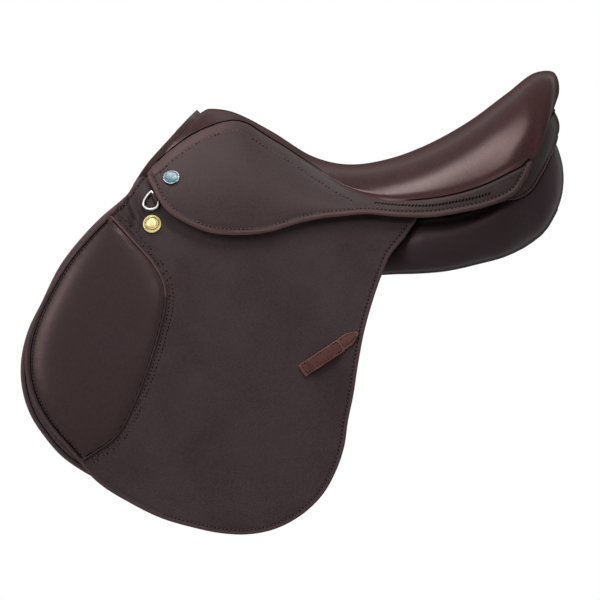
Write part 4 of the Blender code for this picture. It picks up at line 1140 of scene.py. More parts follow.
    def rear_place(self, along: np.ndarray, across: np.ndarray) -> Pair:
        """The cantle strip's face, with a bead along its lower edge."""
        half = 1.0 - np.abs(along * 2.0 - 1.0)
        sign = np.where(along < 0.5, 1.0, -1.0)
        upper, lower = Spline(self.rear_upper).at(half), Spline(self.rear_lower).at(half)
        points = upper + (lower - upper) * across[..., None]
        room = FORM.side(points[..., 0], points[..., 2]) + 4.2
        keep = points[..., 0] > 192.0
        points[..., 1] = np.where(keep, points[..., 1], np.minimum(points[..., 1], room))
        x, y = points[..., 0], points[..., 1]
        outward = unit(np.stack([x - 150.0, y * 0.9, np.full_like(x, 6.0)], axis=-1))
        swell = (0.8 + 3.8 * step(half, 0.35, 0.8)) * np.sin(np.pi * across)
        bead = 0.9 * hump(across, 0.94, 0.05) - 0.5 * hump(across, 0.80, 0.05)
        points = points + outward * (bead + swell - 0.6)[..., None]
        points[..., 1] *= sign
        outward[..., 1] *= sign
        return points, outward

    def build(self) -> None:
        """Makes every piece of the seat."""
        self.build_cover()
        self.build_facings()


def quads(index: np.ndarray, after: np.ndarray) -> list:
    """Faces between a grid of vertex numbers and the grid of their neighbours across."""
    faces = np.stack([index[:-1], index[1:], after[1:], after[:-1]], axis=-1)
    return faces.reshape(-1, 4).tolist()


def closed_grid(name: str, outer: np.ndarray, inner: np.ndarray) -> Piece:
    """One closed body between two grids of points in mm, with smooth faces."""
    rows, columns = outer.shape[:2]
    verts = np.concatenate((outer.reshape(-1, 3), inner.reshape(-1, 3)))
    count = rows * columns
    index = np.arange(count).reshape(rows, columns)
    faces = []
    for grid in (index, index + count):
        faces += quads(grid[:, :-1], grid[:, 1:])
    ring = [*index[:, 0], *index[-1, 1:], *index[-2::-1, -1], *index[0, -2:0:-1]]
    faces += [[a, b, b + count, a + count] for a, b in zip(ring, ring[1:] + ring[:1])]
    piece = mesh_piece(name, verts, faces)
    face_outwards(piece)
    make_smooth(piece, SHARP)
    return piece


@dataclass
class Skirt(SidePart):
    """One side's skirt with its rolled edge, its seam band and its stitching."""

    thickness: float = 3.4
    ridge: Stitch = Stitch(3.5, 3.8, 1.9, 55.0, 0.05)
    catch: tuple = (-88.0, 105.0)
    hollow: float = 1.9
    nose_top: tuple = ((-206.0, 110.5), (-199.0, 117.0))
    nose_low: tuple = ((-211.5, 103.0), (-208.5, 93.5))
    lobe: tuple = (
        (-206.0, 89.0), (-201.0, 78.0), (-190.0, 63.5), (-170.5, 51.0), (-148.5, 41.8), (-116.5, 38.5),
        (-85.0, 41.5), (-53.0, 51.0), (-29.0, 56.0), (-10.5, 58.0), (15.0, 60.3),
    )
    tail: tuple = (
        (51.0, 57.5), (86.0, 57.2), (113.5, 61.5), (140.5, 67.6), (158.0, 73.8), (173.5, 83.2),
        (181.5, 94.5), (189.0, 110.0),
    )

    def __post_init__(self) -> None:
        """Works out the two outlines."""
        seam = FORM.seam[:, [0, 2]]
        seam = seam[seam[:, 0] > -195.0] + (0.0, 0.4)
        seam = resample(seam, 14.0)
        self.top = np.vstack([self.nose_top, seam, [(189.5, 115.5)]])
        self.bottom = np.vstack([self.nose_low, self.lobe, self.tail])
        self.low_line = Spline(self.bottom).even(260)
        self.top_line = Spline(self.top).even(260)

    def height(self, x: np.ndarray, z: np.ndarray) -> np.ndarray:
        """The skirt's face over the side surface: rolled edge, stitch grooves and seam tuck."""
        low = distance_to(self.low_line, x, z)
        top = distance_to(self.top_line, x, z)
        roll = 1.1 * hump(low, 2.6, 1.9) - 0.75 * hump(low, 6.0, 1.1)
        roll -= 0.5 * (1.0 - step(low, 0.0, 1.2))
        front = 1.0 - step(x, -130.0, -90.0)
        band = (0.35 + 0.45 * front) * (1.0 - step(top, 8.8, 11.0)) - 0.5 * hump(top, 10.2, 0.9)
        band = band * (1.0 - step(x, 6.0, 30.0))
        tuck = -1.3 * (1.0 - step(top, 0.0, 3.2))
        crown = 0.5 * hump(low, 13.0, 7.0) * step(x, 10.0, 40.0)
        return FORM.skirt_out + roll + band + tuck + crown

    def build(self) -> None:
        """Makes the skirt and sews it."""
        sheet = SideHide(
            f"skirt_cover_{self.tag}", self.side, self.top, self.bottom, self.height, self.thickness,
            rim=1.3, rows=300, columns=30, mask_width=3.6, extra=self.band,
        )
        cover = sheet.build()
        self.relieve(cover)
        stands_for = (f"skirt_top_{self.tag}", f"skirt_{self.tag}")
        self.join(settle(cover, Finish.SKIRT, "", stands_for))
        rows = (
            ("edge", shifted(self.low_line, 6.1), -207.0, 184.0, Finish.THREAD, Stitch(pitch=4.3)),
            ("band", shifted(self.top_line, -10.2), -200.0, 4.0, Finish.THREAD, Stitch(pitch=4.3)),
            ("cord", shifted(self.low_line, 12.4), 26.0, 146.0, Finish.DARK_THREAD, self.ridge),
        )
        for label, line, front, rear, thread, stitch in rows:
            path = line[(line[:, 0] > front) & (line[:, 0] < rear)]
            self.join(self.sew(f"skirt_{label}_stitches", path, self.height, thread, "", stitch))
        # A near-black cord in the seam between skirt and seat: painted shade.
        line = resample(self.top_line[4:-2], 4.0) + (0.0, 0.9)
        lift = FORM.skirt_out - 0.2 - 1.0 * step(line[:, 0], -150.0, -110.0)
        crease = self.cord("seam_crease", self.lay(line, lift), 0.75, Finish.DARK_THREAD, "")
        self.join(crease)

    def relieve(self, cover: Piece) -> None:
        """Hollows the skirt's inner face where the stirrup bar's catch swings up."""
        spots = read_verts(cover) / MM
        x, z = spots[:, 0], spots[:, 2]
        depth = FORM.side(x, z) + self.height(x, z) - np.abs(spots[:, 1])
        gap = np.hypot(x - self.catch[0], z - self.catch[1])
        hollow = self.hollow * hump(gap, 0.0, 15.0) * step(depth, 1.6, 2.8)
        spots[:, 1] += self.side.value * hollow
        write_verts(cover, spots * MM)

    def band(self, x: np.ndarray, z: np.ndarray) -> np.ndarray:
        """The rubbed band under the seam, at the skirt's front."""
        top = distance_to(self.top_line, x, z)
        return 0.62 * (1.0 - step(top, 6.5, 10.5)) * (1.0 - step(x, -150.0, -95.0))

    def join(self, piece: Piece) -> None:
        """Bakes a piece's place into its mesh; a point on the skirt's bending line is worked out but not
        used.
        """
        x = -90.0
        z = float(FORM.hinge_z(x))
        y = self.side.value * (float(FORM.side(x, z)) + FORM.skirt_out)
        f"skirt_body_{self.tag}"
        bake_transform(piece)


SKIRT_EDGE = Spline(np.vstack([Skirt.lobe, Skirt.tail])).even(200)


@dataclass
class KneeInsert(SidePart):
    """The padded insert in the flap's front."""

    puff: float = 8.8
    front: tuple = (
        (-250.5, 58.5), (-270.5, 37.5), (-292.5, 11.0), (-312.0, -22.0), (-324.0, -47.5), (-332.5, -77.0),
        (-333.0, -104.0), (-326.0, -131.5), (-309.5, -159.5), (-287.5, -184.5), (-277.0, -196.5),
    )
    rear: tuple = (
        (-249.0, 58.0), (-223.6, 30.2), (-201.8, 4.2), (-193.0, -14.0), (-192.0, -30.5), (-197.6, -59.3),
        (-211.1, -103.0), (-223.6, -135.2), (-241.3, -168.5), (-276.0, -194.5),
    )

    def __post_init__(self) -> None:
        """Draws the two seams."""
        self.front_line = Spline(self.front).even(160)
        self.rear_line = Spline(self.rear).even(160)

    def height(self, x: np.ndarray, z: np.ndarray) -> np.ndarray:
        """The insert's face over the flap, puckered where it is sewn."""
        ahead = distance_to(self.front_line, x, z)
        behind = distance_to(self.rear_line, x, z)
        crown = (1.0 - np.exp(-ahead / 13.0)) * (0.4 + 0.6 * (1.0 - np.exp(-behind / 26.0)))
        crown *= 1.0 - np.exp(-behind / 3.5)
        pucker = 0.16 * np.sin(z * 0.62 + x * 0.25) * (np.exp(-ahead / 5.0) + np.exp(-behind / 5.0))
        groove = -0.35 * hump(ahead, 2.4, 0.9)
        return 1.0 + self.puff * crown + pucker + groove

    def build(self) -> None:
        """Makes the insert, its welt and the stitching round it."""
        sheet = SideHide(
            f"insert_cover_{self.tag}", self.side, self.front, self.rear, self.height, 1.6,
            rim=0.5, rows=170, columns=46, mask_width=2.0,
        )
        stands_for = (f"knee_insert_{self.tag}",)
        settle(sheet.build(), Finish.INSERT, self.flap_body, stands_for)
        welt = self.lay(resample(self.rear_line, 4.0), 0.9)
        # The welt's upper part gets lighter, redder leather as a painted highlight; its lower part keeps
        # the flap's colour.
        bright = int(np.searchsorted(-welt[:, 2], 22.0)) + 1
        self.cord("insert_welt", welt[:bright], 1.5, Finish.WELT, self.flap_body)
        self.cord("insert_welt_low", welt[bright - 1:], 1.3, Finish.FLAP, self.flap_body)
        # Near-black cords along both seams: painted shade in their grooves.
        for label, line, gap in (("rear", self.rear_line, -1.6), ("front", self.front_line, 1.6)):
            crease = self.lay(resample(shifted(line, gap)[2:-2], 4.0), 1.6)
            self.cord(f"insert_crease_{label}", crease, 0.8, Finish.DARK_THREAD, self.flap_body)
        front, fine = shifted(self.front_line, 3.4)[3:-3], Stitch(3.8, 2.4, 0.9)
        self.sew("insert_front_stitches", front, self.height, Finish.SOFT_THREAD, self.flap_body, fine)


@dataclass
class Flap(SidePart):
    """One side's flap with the insert that is sewn to it."""

    thickness: float = 4.0
    edge: tuple = (
        (-207.5, 110.0), (-214.5, 104.5), (-220.5, 98.0), (-225.8, 91.0), (-230.5, 83.3), (-236.5, 75.2),
        (-245.0, 67.3), (-256.0, 57.0), (-272.5, 39.5), (-294.5, 12.0),
        (-315.0, -21.0), (-329.0, -50.0), (-337.0, -78.0), (-337.0, -106.0), (-329.5, -133.0),
        (-311.5, -162.0), (-289.0, -187.0), (-262.0, -217.5), (-227.8, -239.2), (-195.5, -254.8),
        (-163.3, -264.2), (-132.1, -270.4), (-106.1, -271.4), (-79.0, -266.2), (-46.8, -248.6),
        (-28.1, -229.8), (-15.6, -208.0), (-6.2, -181.0), (-2.1, -153.9), (3.1, -129.0), (8.3, -95.7),
        (14.6, -62.4), (23.9, -29.1), (33.3, -2.0), (41.6, 17.7), (56.2, 36.0), (69.0, 55.0),
    )

    def __post_init__(self) -> None:
        """Draws the edge and the insert's seams."""
        self.edge_line = Spline(self.edge).even(420)
        self.insert = KneeInsert(self.side, self.needle)
        self.double = [shifted(self.insert.rear_line, gap)[4:-3] for gap in (4.2, 8.2)]

    def height(self, x: np.ndarray, z: np.ndarray) -> np.ndarray:
        """The flap's face: rolled edge, stitch grooves, and soft folds under the skirt's nose."""
        gap = distance_to(self.edge_line, x, z)
        under = -1.7 * (1.0 - step(distance_to(SKIRT_EDGE, x, z), 1.0, 8.0))
        under *= step(x, -70.0, -30.0)
        front = step(-x, 205.0, 245.0) * step(z, -225.0, -175.0)
        roll = (0.35 + 0.6 * front) * hump(gap, 2.0, 1.8) - 0.4 * (1 - step(gap, 0, 1.2))
        groove = -0.45 * (1.0 - front) * hump(gap, 4.8, 0.9)
        double = sum(-0.4 * hump(distance_to(line, x, z), 0.0, 0.9) for line in self.double)
        ripple = np.sin((x + 0.45 * z) * 0.8 + 1.6 * np.sin(z * 0.13))
        ripple += 0.6 * np.sin((x + 0.2 * z) * 1.35 + 2.1 * np.sin(z * 0.09 + 1.0))
        fold = ripple * hump(np.hypot(x + 225.0, (z - 62.0) * 0.75), 0.0, 16.0)
        dent = -0.5 * hump(np.hypot(x + 206.0, z - 50.0), 0.0, 16.0)
        return roll + groove + double + 1.5 * fold + dent + under

    def build(self) -> None:
        """Makes the flap, its stitching and its insert."""
        xs = np.linspace(-186.0, 69.0, 9)
        hinge = ((float(x), float(FORM.hinge_z(x)) + 1.5) for x in xs)
        top = [(-206.5, 110.5), (-199.5, 101.0), *hinge]
        sheet = SideHide(
            f"flap_cover_{self.tag}", self.side, top, self.edge, self.height, self.thickness,
            rim=1.3, rows=330, columns=84, mask_width=2.2, both_edges=False,
        )
        self.join(settle(sheet.build(), Finish.FLAP, "", (f"flap_{self.tag}",)))
        inset = shifted(self.edge_line, 4.8)
        for label, path in (("top", inset[4:38]), ("rim", inset[206:-4])):
            self.join(self.sew(f"flap_{label}_stitches", path, self.height, Finish.SOFT_THREAD, ""))
        for label, path in zip(("near", "far"), self.double):
            name, stitch = f"insert_{label}_stitches", Stitch(4.0, 2.6, 1.0)
            self.sew(name, path, self.height, Finish.SOFT_THREAD, self.flap_body, stitch)
        self.insert.build()

    def join(self, piece: Piece) -> None:
        """Bakes a piece's place into its mesh."""
        self.flap_body
        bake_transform(piece)


def standing(spot: np.ndarray, axis: np.ndarray) -> Matrix:
    """The place of something at a spot in mm, with its Z turned along an axis."""
    turn = Vector((0.0, 0.0, 1.0)).rotation_difference(Vector(axis)).to_matrix().to_4x4()
    return Matrix.Translation(Vector(spot) * MM) @ turn


def lathe(name: str, profile: Outline, centre: np.ndarray, axis: np.ndarray, segments: int = 64) -> Piece:
    """A round piece turned from a disc: each profile point is a radius and a height in mm.

    Args:
        name: the piece's name.
        profile: radius and height pairs, from the foot to the crown's rim.
        centre: the foot's centre in mm.
        axis: the direction of the height.
        segments: facets round it.

    Returns:
        The finished piece.
    """
    drop_selection()
    first, foot = profile[0][0] * MM, (0.0, 0.0, profile[0][1] * MM)
    bpy.ops.mesh.primitive_circle_add(vertices=segments, radius=first, fill_type="NGON", location=foot)
    bpy.ops.object.transform_apply(location=True, rotation=True, scale=True)
    piece = bpy.context.object
    piece.name = piece.data.name = name
    bpy.ops.object.mode_set(mode="EDIT")
    bpy.ops.mesh.select_all(action="SELECT")
    for (radius, height), (wide, high) in zip(profile[:-1], profile[1:]):
        rise = (0.0, 0.0, (high - height) * MM)
        bpy.ops.mesh.extrude_region_move(TRANSFORM_OT_translate={"value": rise})
        ratio = wide / radius
        bpy.ops.transform.resize(value=(ratio, ratio, 1.0), center_override=(0.0, 0.0, 0.0))
    bpy.ops.mesh.select_all(action="SELECT")
    bpy.ops.mesh.normals_make_consistent(inside=False)
    bpy.ops.object.mode_set(mode="OBJECT")
    piece.matrix_world = standing(centre, axis)
    bake(piece)
    make_smooth(piece, 32.0)
    return piece


@dataclass
class Fittings(SidePart):
    """The small leather and metal fittings on one side; profiles hold radius and height."""

    stud: tuple = (-206.0, 50.0)
    nail: tuple = (-186.0, 98.5)
    ring_loop: tuple = (
        (-206.3, 84.9), (-211.1, 79.8), (-214.9, 73.3), (-215.0, 69.3), (-212.6, 66.4), (-208.6, 65.5),
        (-203.9, 66.0), (-200.5, 68.4), (-199.0, 72.1),
    )
    ring_hinge: tuple = (-202.5, 97.5, 78.25)
    wire: float = 1.4
    keeper: tuple = ((-50.0, -102.5), (-9.0, -75.5))
    keeper_width: float = 14.0
    keeper_rise: float = 3.6
    tab: tuple = ((-9.5, -75.0), (8.0, -63.0))
    tab_half: float = 6.6
    stud_profile: tuple = (
        (9.4, 0.0), (9.6, 0.5), (9.5, 1.1), (8.9, 1.5), (8.3, 1.45), (7.9, 1.9), (7.2, 2.35), (6.4, 2.3),
        (6.0, 2.0), (5.6, 2.05), (5.1, 2.6), (4.2, 3.05), (2.8, 3.3), (1.2, 3.4),
    )
    stud_lift: float = 0.1
    bead_count: int = 22
    bead_ring: float = 6.9
    bead_lift: float = 2.35
    bead: Stitch = Stitch(length=1.1, width=1.1, slant=90.0, crease=0.5)
    rim_profile: tuple = ((8.1, 0.0), (8.35, 0.4), (8.3, 1.0), (8.15, 1.3), (8.0, 1.3), (7.9, 1.1))
    disc_profile: tuple = ((7.85, 0.8), (7.85, 1.3), (7.2, 1.6), (5.3, 1.95), (3.0, 2.15), (1.0, 2.2))

    def face(self, x: float, z: float, lift: float) -> np.ndarray:
        """A point lifted off the flap's face."""
        return np.array((x, self.side.value * (float(FORM.side(x, z)) + lift), z))

    def outward(self, x: float, z: float) -> np.ndarray:
        """The flap's outward direction at a place."""
        gap = 4.0
        tilt_x = float(FORM.side(x + gap, z) - FORM.side(x - gap, z)) / (2 * gap)
        tilt_z = float(FORM.side(x, z + gap) - FORM.side(x, z - gap)) / (2 * gap)
        return unit(np.array((-tilt_x, self.side.value, -tilt_z)))

    def build_metal(self) -> None:
        """Makes the stud with its beads, and the nail."""
        spot, way = self.face(*self.stud, self.stud_lift), self.outward(*self.stud)
        stud = lathe(f"stud_{self.tag}", self.stud_profile, spot, way, 72)
        settle(stud, Finish.BRASS, self.flap_body, (f"flap_stud_{self.tag}",))
        right = unit(np.cross(way, (0.0, 0.0, 1.0)))
        turn = np.linspace(0.0, 2.0 * math.pi, self.bead_count + 1)[:-1, None]
        circle = right * np.cos(turn) + np.cross(right, way) * np.sin(turn)
        beads = spot + way * self.bead_lift + circle * self.bead_ring
        outward = everywhere(way, beads[:, 0])
        row = self.needle.row(f"stud_beads_{self.tag}", beads, outward, self.bead)
        settle(row, Finish.BRASS, self.flap_body)
        spot, way = self.face(*self.nail, FORM.skirt_out + 0.9), self.outward(*self.nail)
        rim = lathe(f"nail_rim_{self.tag}", self.rim_profile, spot, way)
        settle(rim, Finish.STEEL, "saddle_body")
        disc = lathe(f"nail_enamel_{self.tag}", self.disc_profile, spot, way)
        settle(disc, Finish.ENAMEL, "saddle_body", (f"skirt_nail_{self.tag}",))

    def build_ring(self) -> None:
        """Makes the D-ring and the leather chape that holds its bar."""
        loop = Spline(self.ring_loop).even(60)
        loop = np.vstack([loop, np.linspace(loop[-1], loop[0], 16)[1:-1]])
        x, y, z = self.ring_hinge
        lift = y - float(FORM.side(x, z))
        path = np.array([self.face(x, z, lift) for x, z in loop])
        for _ in range(8):
            path = (np.roll(path, 1, axis=0) + path * 2.0 + np.roll(path, -1, axis=0)) / 4.0
        ring = self.needle.cord(f"ring_{self.tag}", path, self.wire, closed=True)
        settle(ring, Finish.NICKEL, f"ring_body_{self.tag}", (f"d_ring_{self.tag}",))
        foot, top = self.face(*self.ring_loop[-1], lift), self.face(*self.ring_loop[0], lift)
        up, middle = unit(top - foot), (top + foot) / 2.0
        ahead = np.cross(up, (0.0, self.side.value, 0.0))
        ahead = unit(-ahead if ahead[0] > 0 else ahead)

        def place(along: np.ndarray, across: np.ndarray) -> Pair:
            """The chape's face: round the bar at its front, flat behind."""
            reach = -2.6 + along * 20.0
            width = (across * 2.0 - 1.0) * 5.4 * (1.0 + 0.15 * along)
            x, z = (middle[k] - ahead[k] * reach + up[k] * width for k in (0, 2))
            over_bar = 1.9 * hump(reach, 0.0, 2.4)
            tail = 0.9 * np.clip((along - 0.75) * 4.0, 0.0, 1.0) ** 2
            y = FORM.side(x, z) + 3.0 + over_bar + 0.4 * np.cos(width / 3.6) - tail
            return self.side.facing(x, y, z)

        def mask(along: np.ndarray, across: np.ndarray) -> np.ndarray:
            """The chape's worn sides and end."""
            return np.clip(np.abs(across * 2.0 - 1.0) ** 6 + (along > 0.93), 0.0, 1.0)

        name, rows, columns = f"chape_{self.tag}", shares(25), shares(17)
        chape = shell(name, place, rows, columns, thickness=3.2, rim=0.8, mask=mask)
        settle(chape, Finish.SKIRT, self.flap_body, (f"ring_chape_{self.tag}",))

    def strip(self, ends: tuple, along: np.ndarray, wide: np.ndarray) -> Pair:
        """x and z on a strip between two ends, at shares along it and mm across it."""
        (x, z), last = ends
        run = np.array(last) - ends[0]
        length = float(np.linalg.norm(run))
        run /= length
        return x + run[0] * along * length - run[1] * wide, z + run[1] * along * length + run[0] * wide

    def keeper_place(self, along: np.ndarray, across: np.ndarray) -> Pair:
        """The keeper's face, raised off the flap so that a strap's end can go under it."""
        wide = (across * 2.0 - 1.0) * self.keeper_width / 2.0
        x, z = self.strip(self.keeper, along, wide)
        lift = self.keeper_rise * step(np.minimum(along, 1.0 - along), 0.09, 0.27)
        swell = 0.35 * np.cos(wide / self.keeper_width * math.pi)
        return self.side.facing(x, FORM.side(x, z) + 0.35 + 2.1 + lift + swell, z)

    def tab_place(self, along: np.ndarray, across: np.ndarray) -> Pair:
        """The face of the tab, which narrows to a point."""
        taper = np.clip((along - 0.45) / 0.55, 0.0, 1.0)
        wide = (across * 2.0 - 1.0) * self.tab_half * (1.0 - 0.80 * taper**1.3)
        x, z = self.strip(self.tab, along, wide)
        swell = 0.2 * np.cos(wide / self.tab_half * math.pi)
        return self.side.facing(x, FORM.side(x, z) + 2.5 + swell, z)

    def build_keeper(self) -> None:
        """Makes the keeper and the pointed tab behind it, with their stitching."""
        keeper = shell(
            f"keeper_strap_{self.tag}", self.keeper_place, shares(81), shares(19), thickness=2.1, rim=0.6,
            mask=worn(0.09, 0.03, 0.03),
        )
        settle(keeper, Finish.KEEPER, self.flap_body, (f"keeper_{self.tag}",))
        along, across = np.linspace(0.04, 0.96, 90), np.linspace(0.18, 0.82, 20)
        long, short = Stitch(3.4, 2.4, 0.95), Stitch(3.0, 2.1, 0.95)
        for label, share in (("low", 0.13), ("high", 0.87)):
            self.sew_sheet(f"keeper_stitches_{label}", self.keeper_place, along, share, long)
        for label, share in (("front", 0.05), ("rear", 0.95)):
            self.sew_sheet(f"keeper_stitches_{label}", self.keeper_place, share, across, short)
        tab = shell(
            f"tab_{self.tag}", self.tab_place, shares(31), shares(15), thickness=2.0, rim=0.5,
            mask=worn(0.1, end=0.08),
        )
        settle(tab, Finish.KEEPER, self.flap_body, (f"keeper_tab_{self.tag}",))
        along, small = np.linspace(0.06, 0.86, 30), Stitch(3.0, 2.1, 0.9)
        for label, share in (("low", 0.17), ("high", 0.83)):
            self.sew_sheet(f"tab_stitches_{label}", self.tab_place, along, share, small)

    def sew_sheet(self, name: str, place: Place, along: object, across: object, stitch: Stitch) -> None:
        """Sews a row along one line of shares of a sheet on the flap; one of the two is a number."""
        name, lines = f"{name}_{self.tag}", np.broadcast_arrays(along, across)
        settle(self.needle.sheet_row(name, place, *lines, stitch), Finish.THREAD, self.flap_body)

    def build(self) -> None:
        """Makes every fitting of the side."""
        self.build_metal()
        self.build_ring()
        self.build_keeper()


@dataclass
class Panel(SidePart):
    """One side's flocked panel, with the welts along its seams.

    A station holds the section's x, y and z, its half width and half height, and its slope.
    """

    stations: tuple = (
        (-226.0, 59.0, 24.0, 32.0, 7.0, 72.0), (-205.0, 61.0, 20.0, 46.0, 10.5, 70.0),
        (-155.0, 66.0, 21.0, 52.0, 16.0, 60.0), (-100.0, 64.0, 24.0, 49.0, 19.5, 50.0),
        (-40.0, 61.0, 24.0, 44.0, 21.5, 36.0), (20.0, 61.0, 22.5, 42.0, 23.5, 16.0),
        (48.0, 66.0, 24.5, 46.0, 25.5, 8.0), (76.0, 76.0, 28.5, 50.0, 29.5, 4.0),
        (104.0, 76.5, 31.5, 49.5, 30.0, 4.0), (134.0, 74.0, 39.5, 47.0, 31.5, 3.0),
        (165.0, 69.5, 53.5, 41.5, 37.0, 0.0), (190.0, 61.0, 71.0, 34.0, 40.5, -8.0),
        (206.5, 54.0, 89.5, 28.0, 44.0, -14.0), (215.2, 50.0, 98.0, 21.0, 38.0, -18.0),
        (220.4, 48.0, 98.0, 14.0, 25.0, -18.0), (222.9, 47.5, 98.0, 8.0, 14.0, -18.0),
        (223.9, 47.5, 98.0, 2.0, 4.0, -18.0),
    )
    power: float = 2.6
    around: int = 72
    along: int = 150

    def ring(self, share: np.ndarray, angle: np.ndarray) -> np.ndarray:
        """Points on the panel's skin; the angle starts outside and goes over the top."""
        x, y, z, a, b, slope = np.moveaxis(Spline(self.stations).at(share), -1, 0)
        c, s = np.cos(angle), np.sin(angle)
        grow = (np.abs(c) ** self.power + np.abs(s) ** self.power) ** (-1.0 / self.power)
        u, v = a * c * grow, b * s * grow
        t = np.radians(slope)
        out = u * np.cos(t) + v * np.sin(t)
        up = -u * np.sin(t) + v * np.cos(t)
        return self.side.facing(x, y + out, z + up)[0]

    def skin(self, share: np.ndarray, angle: np.ndarray) -> np.ndarray:
        """The skin with its seam grooves and the soft swell of its filling."""
        spots = self.ring(share, angle)
        x, y, z = np.moveaxis(Spline(self.stations).at(share), -1, 0)[:3]
        gaps = [np.angle(np.exp(1j * (angle - place))) for place in self.seams]
        seam = sum(hump(gap, 0.0, 0.07) for gap in gaps)
        lump = 0.3 * np.sin(share * 34.0 + 3.0 * np.sin(angle)) * np.sin(angle * 3.0 + 1.0)
        pull = 0.12 * np.sin(share * 240.0) * sum(hump(gap, 0.0, 0.22) for gap in gaps)
        way = unit(spots - self.side.facing(x, y, z)[0])
        return spots + way * (lump + pull - seam - 0.5)[..., None]

    @property
    def seams(self) -> tuple:
        """Angles of the two long seams."""
        return (math.radians(100.0), math.radians(-98.0))

    def build(self) -> None:
        """Makes the panel."""
        share = shares(self.along)
        turn = np.linspace(0.0, 2.0 * math.pi, self.around, endpoint=False)
        u, a = np.meshgrid(share, turn, indexing="ij")
        points = self.skin(u, a)
        verts = points.reshape(-1, 3)
        index = np.arange(len(verts)).reshape(self.along, self.around)
        after = np.roll(index, -1, axis=1)
        faces = quads(index, after)
        ends = np.stack([points[0].mean(axis=0), points[-1].mean(axis=0)])
        first, last = len(verts), len(verts) + 1
        faces += [[index[0, k], after[0, k], first] for k in range(self.around)]
        faces += [[after[-1, k], index[-1, k], last] for k in range(self.around)]
        piece = mesh_piece(f"panel_cover_{self.tag}", np.vstack([verts, ends]), faces)
        face_outwards(piece)
        make_smooth(piece, 55.0)
        stands_for = (f"panel_{self.tag}",)
        settle(piece, Finish.PANEL, "saddle_body", stands_for)
        for label, angle in zip(("upper", "lower"), self.seams):
            reach = share[4:-10]
            line = self.skin(reach, np.full_like(reach, angle))
            self.cord(f"panel_welt_{label}", line, 1.0, Finish.PANEL, "saddle_body")


